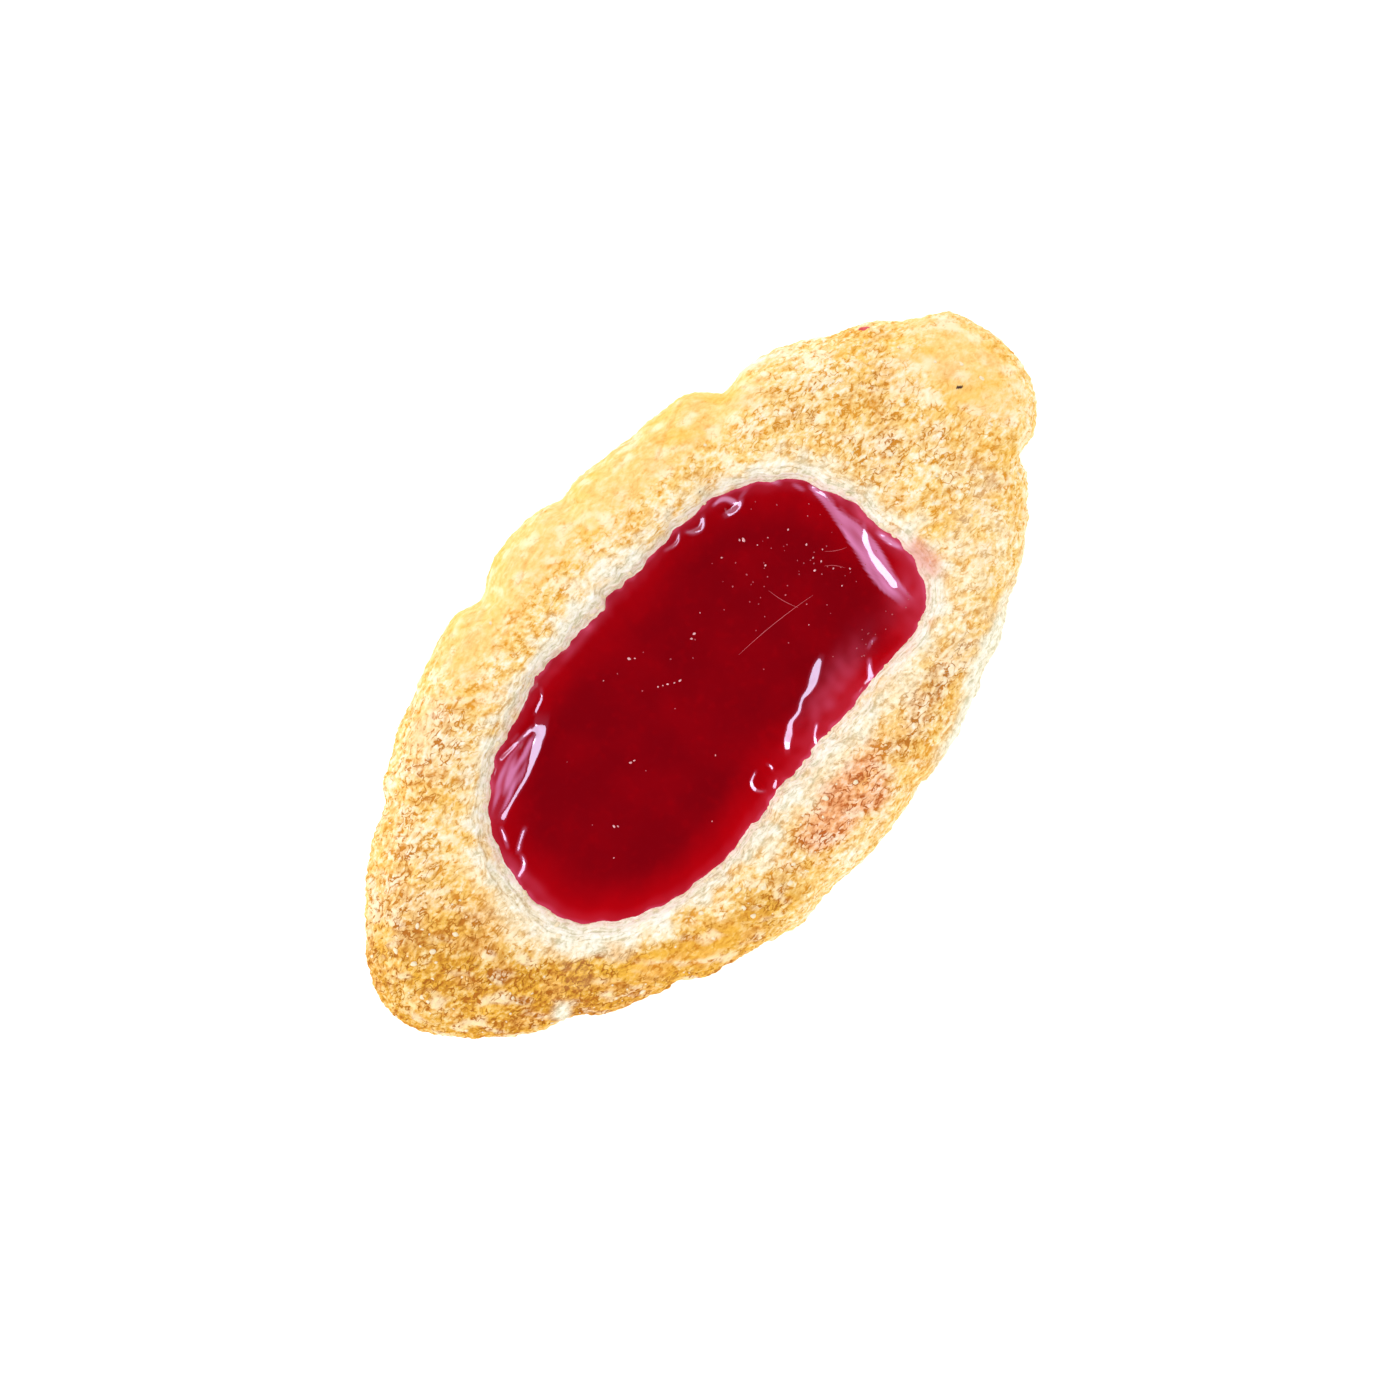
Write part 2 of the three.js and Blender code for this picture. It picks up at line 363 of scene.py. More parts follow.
def ring_mesh(name, rings, first=None, last=None):
    """A closed mesh from a stack of rings, with a cap of triangles to a point at each end."""
    count, around = rings.shape[:2]
    points = rings.reshape(-1, 3).tolist()
    faces = []
    for ring in range(count - 1):
        low, high = ring * around, (ring + 1) * around
        for spoke in range(around):
            after = (spoke + 1) % around
            faces.append((low + spoke, low + after, high + after, high + spoke))
    for tip, ring, turned in ((first, 0, True), (last, count - 1, False)):
        points.append(tuple(tip))
        for spoke in range(around):
            after = (spoke + 1) % around
            pair = (ring * around + spoke, ring * around + after)
            faces.append((pair[::-1] if turned else pair) + (len(points) - 1,))
    mesh = bpy.data.meshes.new(name)
    mesh.from_pydata([(x * MM, y * MM, z * MM) for x, y, z in points], [], faces)
    mesh.shade_smooth()
    mesh.update()
    return mesh


def place_object(name, mesh):
    made = bpy.data.objects.new(name, mesh)
    bpy.context.scene.collection.objects.link(made)
    return made


def keep_numbers(mesh, name, values):
    """Store one number for each point of a mesh, for its material to read."""
    stored = mesh.attributes.new(name, "FLOAT", "POINT")
    stored.data.foreach_set("value", np.asarray(values, dtype=np.float32))


def soft_patch(x, y, centre, size, degrees=0.0):
    """A soft oval patch: 1 in its middle, fading to 0 outside it."""
    turn = math.radians(degrees)
    aside_x, aside_y = x - centre[0], y - centre[1]
    along = (aside_x * math.cos(turn) + aside_y * math.sin(turn)) / size[0]
    across = (aside_y * math.cos(turn) - aside_x * math.sin(turn)) / size[1]
    return np.exp(-(along**2 + across**2))


# Patches of the crust: centre, size, turn in degrees, and how strong each is.
PATCHES = {
    "golden": (
        ((4.0, 14.8), (13.0, 2.4), -8, 1.0),
        ((-8.0, 14.4), (7.0, 1.8), 12, 0.8),
        ((29.5, 1.5), (3.2, 5.0), 0, 0.9),
        ((15.0, 12.6), (4.0, 1.6), -25, 0.8),
        ((-16.5, 12.2), (2.5, 1.2), 30, 0.4),
    ),
    "browned": (
        ((-29.5, -2.0), (6.0, 5.5), 0, 1.2),
        ((-23.0, -8.6), (6.0, 3.2), -33, 1.4),
        ((-15.5, -12.8), (5.5, 1.7), -22, 0.85),
        ((-8.0, -14.0), (5.0, 1.8), -8, 0.45),
        ((-20.5, -10.6), (5.0, 1.5), -33, 0.6),
        ((-28.5, 4.0), (5.0, 3.0), 40, 0.5),
        ((25.0, 5.0), (4.0, 4.0), 0, 0.2),
        ((8.5, 14.6), (3.0, 0.9), -12, 0.3),
    ),
    "amber": (((-16.6, -11.6), (3.6, 1.1), -28, 1.0), ((-12.6, -13.4), (3.0, 0.9), -16, 0.8)),
    "speckled": (
        ((-17.5, 10.5), (7.0, 2.6), 26, 0.6),
        ((-26.0, 4.0), (4.0, 4.0), 0, 0.4),
        ((22.5, 0.5), (6.0, 7.0), 0, 0.38),
        ((9.0, -13.0), (6.5, 1.4), 8, 0.9),
        ((-4.0, -13.2), (4.0, 1.6), -3, 0.6),
        ((19.0, 9.0), (4.0, 3.0), -30, 0.3),
    ),
    "blushed": (
        ((0.4, -13.2), (4.6, 1.9), 4, 1.0),
        ((2.0, -14.8), (1.5, 1.0), 0, 0.5),
    ),
    "cream": (
        ((-18.5, -6.6), (3.5, 1.3), -45, 0.5),
        ((14.0, -14.9), (11.0, 1.1), 20, 0.9),
        ((10.0, -12.2), (5.0, 1.2), 8, 0.2),
        ((-21.0, -2.0), (1.4, 5.0), 0, 0.5),
        ((4.0, -10.6), (11.0, 1.2), 3, 0.55),
        ((27.5, 9.3), (3.5, 0.9), -40, 0.5),
        ((1.0, 10.8), (1.6, 0.8), 0, 0.7),
        ((19.5, -8.5), (6.0, 3.0), 35, 0.25),
        ((-15.0, 8.5), (4.0, 1.2), 28, 0.2),
        ((20.5, 12.2), (3.0, 0.7), -32, 0.5),
        ((-1.0, -16.2), (4.0, 0.7), 0, 0.4),
        ((-24.6, -8.6), (0.9, 0.7), 0, 0.8),
    ),
    "jam stain": (((17.2, -5.6), (1.1, 2.2), 0, 0.8), ((12.0, -9.6), (4.0, 0.5), 6, 0.3)),
}


def sum_patches(patches, x, y):
    total = np.zeros_like(x)
    for centre, size, degrees, strength in patches:
        total = total + strength * soft_patch(x, y, centre, size, degrees)
    return total


def underside_rings(foot):
    """Rings from near the middle of the underside out to the foot."""
    shares = 1 - (1 - np.linspace(0, 1, UNDERSIDE_RINGS + 1)[1:-1]) ** 2
    return np.array([foot * (share, share, 1.0) for share in shares])


# Hairline cracks and wrinkles of the crust: their points, width and depth.
CRACKS = (
    (((9.6, 13.0), (11.6, 13.9), (14.0, 14.6)), 0.10, 0.10),
    (((10.6, 13.9), (11.8, 13.3)), 0.09, 0.08),
    (((-3.8, 14.4), (-2.0, 15.1), (-0.8, 15.2)), 0.12, 0.12),
    (((2.4, 15.9), (3.4, 15.5), (4.0, 14.9)), 0.10, 0.10),
    (((-8.6, 15.4), (-7.4, 14.9), (-6.6, 15.2)), 0.12, 0.10),
    (((15.4, 8.2), (16.6, 5.8), (17.5, 3.4), (17.9, 1.6)), 0.20, 0.12),
    (((16.9, 6.6), (17.8, 4.4), (18.3, 2.6)), 0.15, 0.12),
    (((18.4, 3.8), (17.7, 2.2)), 0.12, 0.10),
    (((27.0, -5.9), (28.4, -4.6)), 0.16, 0.12),
    (((17.2, 13.6), (16.2, 12.6)), 0.16, 0.10),
)


def crack_depth(points):
    """How deep the cracks cut at each point, from 0 to 1, and by how much."""
    share = np.zeros(len(points))
    depth = np.zeros(len(points))
    for corners, width, cut in CRACKS:
        for start, end in zip(corners, corners[1:]):
            run = np.subtract(end, start)
            from_start = points[:, :2] - start
            along = np.clip(from_start @ run / (run @ run), 0, 1)
            distance = np.linalg.norm(from_start - along[:, None] * run, axis=1) / width
            line = np.exp(-(distance**2))
            share = np.maximum(share, line)
            depth = np.maximum(depth, cut * line)
    return share, depth


def crust_share(points):
    """1 on the crust, fading to 0 on the side that lay against the tin."""
    return smooth(BELLY_HEIGHT - TIN_STARTS, BELLY_HEIGHT - CRUST_ENDS, points[:, 2])


def crust_relief(points, calm):
    """How far each point stands out of the smooth boat, and the grain of the crumb there."""
    gap = well_gap(points[:, 0], points[:, 1])
    top = crust_share(points)
    wall = smooth(-0.1, 0.9, gap) * (1 - smooth(1.0, 2.6, gap)) * top
    waterline = np.exp(-((gap / WATERLINE_WIDTH) ** 2))
    grain = crumb_grain(points)
    rise = LUMP_HEIGHT * noise_at(points, LUMP_SIZE, 3)
    rise = rise + top * BUMP_HEIGHT * (1 - 0.5 * calm) * noise_at(in_grain(points), BUMP_SIZE, 7)
    rise = rise + top * GRAIN_HEIGHT * (1 - 0.65 * calm) * (1 - 0.6 * waterline) * (grain - 0.6)
    flakes = noise_at(along_flakes(points, gap, FLAKE_LENGTH, FLAKE_WIDTH), 1.0, 31)
    rise = rise + wall * FLAKE_HEIGHT * flakes
    cracked, cut = crack_depth(points)
    starting = smooth(*RAGGED_LEVELS[:2], points[:, 2])
    ragged = starting * (1 - smooth(*RAGGED_LEVELS[2:], points[:, 2]))
    rags = RAG_HEIGHT * noise_at(points, RAG_SIZE, 41)
    rags = rags + FINE_RAG_HEIGHT * noise_at(points, FINE_RAG_SIZE, 43)
    rise = rise + ragged * (1 - 0.6 * calm) * rags - top * cut
    pit = np.maximum(noise_at(points, TIN_PIT_SIZE, 17) - 0.25, 0)
    return rise - (1 - top) * TIN_PIT_DEPTH * 2 * pit, grain * (1 - 0.7 * cracked)


smooth_rings = spaced_rings(boat_sections(), RINGS)
smooth_points = smooth_rings.reshape(-1, 3)
calm = np.clip(sum_patches(PATCHES["golden"], smooth_points[:, 0], smooth_points[:, 1]), 0, 1)
relief, grain = crust_relief(smooth_points, calm)
relief[:SPOKES] = 0
crust_rings = smooth_rings + ring_normals(smooth_rings) * relief.reshape(RINGS, SPOKES, 1)
crust_rings[0, :, 2] = 0
crust_rings[:, :, 2] = np.maximum(crust_rings[:, :, 2], 0)
all_rings = np.concatenate([underside_rings(crust_rings[0]), crust_rings])
sponge_mesh = ring_mesh(
    "sponge_crust", all_rings, first=(0, 0, 0), last=(*JAM_CENTRE, WELL_FLOOR)
)
sponge = place_object("sponge_crust", sponge_mesh)


def linear(hex_colour):
    """A colour for a shader, from its sRGB hex value."""
    channels = [int(hex_colour[i : i + 2], 16) / 255 for i in (1, 3, 5)]
    bent = [c / 12.92 if c <= 0.04045 else ((c + 0.055) / 1.055) ** 2.4 for c in channels]
    return (*bent, 1.0)


# Baked sponge: matt and grainy. Each part of the crust has three colours, in its crevices, over
# most of its grains and on its palest flakes. The crevice colour is partly the crumb's browner
# tone and partly painted shade, and the palest partly painted light on the tops of the grains.
# Cream round the well, gold over the field and smoother gold at the top edge, ochre at the left
# tip with amber beside it, peach where one spot has caught, brown specks on cream round that,
# and an even tan where it lay against the tin.
CRUST_COLOURS = {
    "field": ("#DE9828", "#F4D180", "#FEF3DA"),
    "golden": ("#E0982A", "#F6CB7C", "#FDE6BC"),
    "browned": ("#B06604", "#DCA22E", "#F5DC9C"),
    "amber": ("#CE8418", "#E8B03E", "#F6DC98"),
    "speckled": ("#C07622", "#F2D29A", "#FDF2E2"),
    "blushed": ("#BE6222", "#EFB078", "#FCE2CA"),
    "cream": ("#D2CAA8", "#F5F0DE", "#FEFCF4"),
    "tin": ("#B87A2C", "#D8A24E", "#EBC07A"),
}
JAM_STAIN = "#E08A80"

# The body's hue wanders between these: each tint, the size of its patches and its strength.
TINTS = (("#F2BC3C", 1.9, 0.5), ("#F6BE8E", 1.4, 0.2), ("#FFF8DE", 0.9, 0.5))

# Painted shade: places where the crust is drawn darker than its colours make it: centre, size,
# turn, how much.
PAINTED_SHADE_PLACES = (
    ((-22.0, -9.4), (4.0, 2.2), -33, 0.2),
    ((-8.0, -13.4), (4.0, 1.6), -8, 0.1),
    ((9.0, -12.8), (5.0, 1.4), 5, 0.08),
    ((10.0, -15.6), (9.0, 1.0), 12, 0.16),
    ((1.0, -13.0), (3.0, 1.6), 0, 0.05),
    ((16.0, -10.6), (4.0, 1.8), 35, 0.07),
    ((-18.5, 9.6), (6.0, 2.4), 28, 0.07),
    ((-6.0, -10.6), (6.0, 0.8), 0, 0.16),
)
MOTTLE_SIZE, MOTTLE = 1.1, 0.14
BLOTCH_SIZE, BLOTCH = 3.6, 0.20
ZONE_WANDER = 0.35
RING_WANDER = 1.5
STAIN_STRENGTH, SEEP_STRENGTH = 0.6, 0.5

# The level chooses between the three colours, from 0 in a crevice to 1 on a flake, so a low
# level is partly painted shade and a high one partly painted light.
MIDDLE_LEVEL = 0.54
GRAIN_CONTRAST, GRAIN_MIDDLE = 0.32, 0.52
BROWNED_DARKER = 0.05
TIN_PLAINNESS = 0.7

# How strongly creases show everywhere, dented and darkened as painted shade, and how much more
# in some parts.
CREASED = 0.48
MORE_CREASED = {"speckled": 0.6, "blushed": 0.35, "browned": 0.2}


def crust_zones(points, gap):
    """How far each part of the crust's colours shows at each point, from 0 to 1."""
    x, y = points[:, 0], points[:, 1]
    on_top = crust_share(points)
    wander = noise_at(points, BLOTCH_SIZE, 83) + noise_at(points, MOTTLE_SIZE, 89)
    shares = {}
    for zone, patches in PATCHES.items():
        strength = sum_patches(patches, x, y)
        strength += ZONE_WANDER * wander * np.minimum(strength + 0.3, 1)
        shares[zone] = smooth(0.05, 0.75, strength) * on_top
    ring = 1 - smooth(0.3, 2.8, gap + RING_WANDER * wander)
    shares["cream"] = np.maximum(shares["cream"], ring * on_top)
    shares["tin"] = 1 - on_top
    return shares


def crust_colour(points, shares, level):
    """One of the three colours, blended over the parts of the crust."""
    blended = np.full((len(shares["tin"]), 4), linear(CRUST_COLOURS["field"][level]))
    for zone in ("golden", "browned", "amber", "speckled", "blushed", "cream", "tin"):
        target = np.array(linear(CRUST_COLOURS[zone][level]))
        blended += (target - blended) * shares[zone][:, None]
    if level > 0:
        for index, (tint, size, strength) in enumerate(TINTS):
            share = smooth(0.08, 0.5, noise_at(in_grain(points), size, 131 + index))
            share = strength * share * (1 - 0.85 * shares["cream"]) * (1 - 0.5 * shares["tin"]) / level
            blended += (np.array(linear(tint)) - blended) * share[:, None]
    stain = np.array(linear(JAM_STAIN))
    return blended + (stain - blended) * (STAIN_STRENGTH * shares["jam stain"][:, None])


def keep_colours(mesh, name, colours):
    """Store one colour for each point of a mesh, for its material to read."""
    stored = mesh.attributes.new(name, "FLOAT_COLOR", "POINT")
    stored.data.foreach_set("color", np.asarray(colours, dtype=np.float32).ravel())


flat_points = np.concatenate([all_rings.reshape(-1, 3), [(0, 0, 0), (*JAM_CENTRE, WELL_FLOOR)]])
plain = np.ones((len(all_rings) - len(crust_rings)) * SPOKES)
flat_grain = np.concatenate([plain, grain, (1, 1)])
flat_gap = well_gap(flat_points[:, 0], flat_points[:, 1])
shares = crust_zones(flat_points, flat_gap)
# Jam has seeped into the grains nearest to it.
seep = (1 - smooth(0.05, 0.75, flat_gap)) * smooth(0.35, 0.75, flat_grain)
shares["jam stain"] = np.maximum(shares["jam stain"], SEEP_STRENGTH * seep)
# Colours for crevices and painted shade, for the grains, and for flakes and painted light.
for level, name in enumerate(("crevice_and_shade_colour", "body_colour", "flake_and_light_colour")):
    keep_colours(sponge_mesh, name, crust_colour(flat_points, shares, level))
mottle = MOTTLE * noise_at(in_grain(flat_points), MOTTLE_SIZE, 97)
mottle += BLOTCH * noise_at(flat_points, BLOTCH_SIZE, 101)
even = np.maximum(shares["tin"], shares["amber"])
plainness = np.maximum(shares["golden"], TIN_PLAINNESS * even)
unevenness = 1 - 0.4 * plainness + 0.6 * shares["browned"]
level = MIDDLE_LEVEL + GRAIN_CONTRAST * (flat_grain - GRAIN_MIDDLE) + mottle * unevenness
level = level - BROWNED_DARKER * shares["browned"]
# Painted shade, at the places listed for it.
level = level - sum_patches(PAINTED_SHADE_PLACES, flat_points[:, 0], flat_points[:, 1])
keep_numbers(sponge_mesh, "level", level)
keep_numbers(sponge_mesh, "roughness", 1 - 0.6 * plainness)
creased = sum((more * shares[zone] for zone, more in MORE_CREASED.items()), CREASED)
flake_place = along_flakes(flat_points, flat_gap, FINE_FLAKE_LENGTH, FINE_FLAKE_WIDTH)
stored = sponge_mesh.attributes.new("flake_place", "FLOAT_VECTOR", "POINT")
stored.data.foreach_set("vector", flake_place.astype(np.float32).ravel())
flaky = (1 - smooth(0.9, 2.6, flat_gap)) * (1 - shares["tin"])
keep_numbers(sponge_mesh, "flaky", flaky)
keep_numbers(sponge_mesh, "creased", -creased * (1 - 0.7 * plainness) * (1 - 0.5 * shares["cream"]))

thinning = sponge.modifiers.new("thinning", "DECIMATE")
thinning.ratio = KEPT_TRIANGLES / (2 * (len(all_rings) * SPOKES))
sponge.data = bpy.data.meshes.new_from_object(
    sponge.evaluated_get(bpy.context.evaluated_depsgraph_get())
)
sponge.modifiers.clear()
sponge_mesh = sponge.data


def add_node(tree, kind, inputs=None, **settings):
    """Add a node with its settings, and its inputs' values or the sockets that feed them."""
    node = tree.nodes.new(kind)
    for setting, value in settings.items():
        setattr(node, setting, value)
    for key, value in (inputs or {}).items():
        if isinstance(value, bpy.types.NodeSocket):
            tree.links.new(value, node.inputs[key])
        else:
            node.inputs[key].default_value = value
    return node


def new_material(name):
    made = bpy.data.materials.new(name)
    made.use_nodes = True
    made.node_tree.nodes.clear()
    return made, made.node_tree


FINE_NOISE_SIZE = 0.34
CREASE_SIZE = 0.46
CREASE_GROUND = 0.6


def baked_sponge():
    made, tree = new_material("baked_sponge_crust")
    place = add_node(tree, "ShaderNodeTexCoord").outputs["Object"]
    # Millimetres, turned so that X lies along the flakes, and drawn together that way.
    in_mm = add_node(
        tree,
        "ShaderNodeMapping",
        {
            "Vector": place,
            "Rotation": (0, 0, -math.atan2(GRAIN_WAY[1], GRAIN_WAY[0])),
            "Scale": (1000 / GRAIN_STRETCH, 1000, 1000),
        },
    ).outputs[0]
    stored = {
        name: add_node(tree, "ShaderNodeAttribute", attribute_name=name)
        for name in (
            "crevice_and_shade_colour",
            "body_colour",
            "flake_and_light_colour",
            "level",
            "roughness",
            "creased",
            "flake_place",
            "flaky",
        )
    }

    # Fine crumb, from a third of a millimetre down to what shows.
    fine = add_node(
        tree,
        "ShaderNodeTexNoise",
        {"Vector": in_mm, "Scale": 1 / FINE_NOISE_SIZE, "Detail": 3.0, "Roughness": 0.6},
    ).outputs["Fac"]
    fine = add_node(
        tree,
        "ShaderNodeMapRange",
        {"Value": fine, "From Min": 0.3, "From Max": 0.7, "To Min": -0.46, "To Max": 0.46},
        clamp=False,
    ).outputs[0]
    # Creases run between the grains as short curved strokes of painted shade, dented by the bump as
    # well: level lines of a noise, broken up.
    winding = add_node(
        tree,
        "ShaderNodeTexNoise",
        {"Vector": in_mm, "Scale": 1 / CREASE_SIZE, "Detail": 1.5, "Distortion": 0.5},
    ).outputs["Fac"]
    away = add_node(tree, "ShaderNodeMath", {0: winding, 1: 0.5}, operation="SUBTRACT").outputs[0]
    away = add_node(tree, "ShaderNodeMath", {0: away}, operation="ABSOLUTE").outputs[0]
    stroke = add_node(
        tree,
        "ShaderNodeMapRange",
        {"Value": away, "From Min": 0.05, "From Max": 0.01},
        interpolation_type="SMOOTHSTEP",
    ).outputs[0]
    ground = add_node(
        tree,
        "ShaderNodeTexNoise",
        {"Vector": in_mm, "Scale": 1 / CREASE_GROUND, "Detail": 1.0},
    ).outputs["Fac"]
    ground = add_node(
        tree,
        "ShaderNodeMapRange",
        {"Value": ground, "From Min": 0.40, "From Max": 0.58},
        interpolation_type="SMOOTHSTEP",
    ).outputs[0]
    crease = add_node(tree, "ShaderNodeMath", {0: stroke, 1: ground}, operation="MULTIPLY").outputs[0]

    # Round the well the crumb lies in long thin flakes, with painted olive shade between them.
    flakes = add_node(
        tree,
        "ShaderNodeTexNoise",
        {"Vector": stored["flake_place"].outputs["Vector"], "Scale": 1.0, "Detail": 3.0},
    ).outputs["Fac"]
    flakes = add_node(
        tree,
        "ShaderNodeMapRange",
        {"Value": flakes, "From Min": 0.36, "From Max": 0.56, "To Min": -0.32, "To Max": 0.14},
    ).outputs[0]
    level = stored["level"].outputs["Fac"]
    for pattern, strength in ((fine, "roughness"), (crease, "creased"), (flakes, "flaky")):
        level = add_node(
            tree,
            "ShaderNodeMath",
            {0: pattern, 1: stored[strength].outputs["Fac"], 2: level},
            operation="MULTIPLY_ADD",
        ).outputs[0]
    colour = stored["crevice_and_shade_colour"].outputs["Color"]
    for low, high, over in ((0.0, 0.5, "body_colour"), (0.5, 1.0, "flake_and_light_colour")):
        share = add_node(
            tree, "ShaderNodeMapRange", {"Value": level, "From Min": low, "From Max": high}
        ).outputs[0]
        colour = add_node(
            tree,
            "ShaderNodeMix",
            {0: share, 6: colour, 7: stored[over].outputs["Color"]},
            data_type="RGBA",
        ).outputs[2]
    bump = add_node(
        tree, "ShaderNodeBump", {"Height": level, "Strength": 0.6, "Distance": 0.12 * MM}
    ).outputs[0]
    shader = add_node(
        tree,
        "ShaderNodeBsdfPrincipled",
        {
            "Base Color": colour,
            "Roughness": 0.85,
            "Specular IOR Level": 0.2,
            "Normal": bump,
        },
    )
    add_node(tree, "ShaderNodeOutputMaterial", {"Surface": shader.outputs[0]})
    return made


sponge_finish = baked_sponge()
sponge_mesh.materials.append(sponge_finish)
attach(sponge, "root")
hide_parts("sponge_boat")


# The jam
# A red fruit jam, boiled to a gel, poured warm into the well and set. Its face is glassy, it
# creeps up the wall at one side and slumps at the other, and it is brightest where it is thin.

JAM_SPOKES = 880
JAM_RINGS = 108
JAM_OVERLAP = 0.9
CREEP_WAY = (0.67, -0.74)
CREEP_HEIGHT = 0.12
CREEP_WIDTH = 0.5
RING_CROWDING = 1.35

# The jam's hidden underside: how far outside its edge each ring lies, and its height.
JAM_UNDERSIDE = ((-5.0, 6.4), (-2.0, 7.2), (0.2, 8.4))

# Waver of the folds, puckers along the wall, and the skin's slow sway and dimples.
WAVER_SIZE, FINE_WAVER_SIZE = 1.6, 0.6
PUCKER_WIDTH, PUCKER_SIZE, PUCKER_HEIGHT = 0.7, 0.8, 0.07
SWAY_SIZE, SWAY_HEIGHT = 3.4, 0.05
DIMPLE_SIZE, DIMPLE_HEIGHT = 0.9, 0.012

# Folds of the skin. Each runs anticlockwise round the jam, with the wall to its right, through
# places with a width, and has a steepness, which is more than nothing where it climbs to the
# wall and less where it falls to it, a share of pale colour on it that is partly cloudy skin and
# partly painted reflection of the room and the windows, and how streaky it is.
JAM_FOLDS = (
    # The long fold along the right wall, with painted reflection on it, and the ridge down its middle.
    (
        (
            (14.2, -6.6, 1.1),
            (14.3, -4.9, 1.5),
            (14.9, -3.0, 1.7),
            (15.3, -1.4, 1.5),
            (15.4, 0.4, 0.8),
            (15.6, 1.8, 0.5),
            (15.7, 3.6, 0.3),
        ),
        0.27,
        0.85,
        0.05,
    ),
    (((14.4, -5.9, 0.5), (14.7, -4.4, 0.5), (15.0, -2.6, 0.4), (16.3, -1.0, 0.3)), 0.22, 0.3, 0.0),
    (((15.9, 1.5, 0.25), (16.0, 2.3, 0.35), (15.75, 3.4, 0.3)), 0.25, 0.3, 0.0),
    (((16.15, -0.8, 0.2), (15.9, 0.1, 0.2), (16.05, 1.0, 0.2)), 0.35, 0.2, 0.0),
    (((16.8, -4.3, 0.25), (16.6, -3.4, 0.5), (16.5, -2.3, 0.35)), 0.5, 0.7, 0.02),
    (((15.15, 3.8, 0.25), (15.0, 4.6, 0.25)), 0.48, 0.4, 0.0),
    (((14.35, 5.4, 0.35), (14.1, 6.0, 0.35)), 0.48, 0.4, 0.0),
    # Hooks and drips under the top wall.
    (((12.4, 6.85, 0.3), (11.6, 6.8, 0.2)), -0.44, 0.2, 0.0),
    (((11.7, 6.7, 0.3), (11.0, 6.45, 0.55), (10.1, 6.75, 0.4)), -0.5, 0.3, 0.0),
    (((11.2, 6.7, 0.4), (11.1, 7.4, 0.35), (10.7, 7.8, 0.3), (10.0, 7.9, 0.2)), 0.52, 0.6, 0.0),
    (((8.9, 7.9, 0.3), (8.3, 7.4, 0.5), (7.6, 7.6, 0.5), (7.2, 8.1, 0.2)), -0.44, 0.2, 0.02),
    (((6.9, 8.4, 0.15), (6.2, 7.95, 0.35), (5.2, 8.3, 0.15)), -0.44, 0.2, 0.0),
    (((-8.1, 8.3, 0.12), (-8.6, 7.8, 0.25), (-9.0, 7.65, 0.2), (-9.8, 7.35, 0.25)), -0.44, 0.1, 0.0),
    (((-8.1, 8.65, 0.15), (-8.8, 8.75, 0.15)), -0.44, 0.1, 0.0),
    (((-9.8, 8.45, 0.25), (-10.3, 8.3, 0.3)), -0.44, 0.2, 0.0),
    (((-11.7, 7.3, 0.15), (-12.5, 7.25, 0.15)), -0.42, 0.1, 0.0),
    # The broad fold at the upper left: its bright lower and upper edges, and the slope inside,
    # with painted reflection on it.
    (
        (
            (-9.8, 6.7, 1.0),
            (-11.0, 6.0, 1.0),
            (-12.2, 5.35, 0.55),
            (-13.4, 4.85, 0.34),
            (-15.2, 4.45, 0.28),
            (-16.4, 4.2, 0.3),
            (-17.1, 4.0, 0.6),
        ),
        -0.43,
        0.1,
        0.0,
    ),
    (((-10.7, 6.85, 0.35), (-12.2, 6.9, 0.28), (-13.9, 7.0, 0.25)), -0.5, 0.3, 0.0),
    (
        (
            (-11.2, 6.45, 0.4),
            (-12.2, 6.3, 0.9),
            (-13.6, 5.95, 1.7),
            (-15.2, 5.4, 1.5),
            (-16.9, 4.7, 0.7),
        ),
        0.12,
        0.72,
        0.15,
    ),
    # Creases and drips along the left wall.
    (((-17.5, 3.7, 0.15), (-17.9, 3.0, 0.3), (-18.3, 2.4, 0.15)), -0.43, 0.3, 0.0),
    (((-16.4, 2.4, 0.25), (-17.3, 2.1, 0.25), (-18.0, 1.6, 0.3)), -0.48, 0.3, 0.0),
    (((-18.0, 1.3, 0.2), (-18.2, 0.8, 0.3), (-18.7, 0.5, 0.3), (-19.4, 0.42, 0.25)), -0.48, 0.3, 0.0),
    # Drips and a long crease along the lower wall.
    (((-2.8, -8.7, 0.2), (-3.3, -8.2, 0.3), (-3.1, -7.5, 0.3), (-2.2, -7.25, 0.15)), 0.44, 0.1, 0.0),
    (((-2.2, -9.0, 0.2), (-1.6, -8.7, 0.2)), 0.44, 0.1, 0.0),
    (((-1.35, -8.1, 0.15), (-1.2, -7.8, 0.2), (-1.3, -7.5, 0.15)), 0.44, 0.1, 0.0),
    (
        (
            (0.35, -8.0, 0.4),
            (0.9, -7.5, 0.6),
            (1.5, -7.2, 0.65),
            (2.1, -6.7, 0.4),
            (3.1, -6.7, 0.35),
            (3.8, -6.25, 0.35),
            (4.7, -6.2, 0.5),
            (5.3, -6.0, 0.75),
            (6.2, -5.55, 0.75),
            (7.1, -5.2, 0.4),
        ),
        0.43,
        0.1,
        0.02,
    ),
    (((2.1, -9.2, 0.2), (2.5, -8.7, 0.25), (3.3, -8.2, 0.12)), 0.44, 0.3, 0.0),
    (((8.2, -9.1, 0.25), (8.6, -8.6, 0.4), (9.3, -7.9, 0.2)), 0.44, 0.5, 0.02),
    (((9.8, -7.3, 0.12), (10.3, -7.15, 0.2), (10.7, -7.2, 0.15)), 0.44, 0.2, 0.0),
)
FOLD_CORNER = 0.06
FOLD_WAVER = 0.05
FOLD_FADE = 1.8
FOLD_LEAST_FADE = 0.2
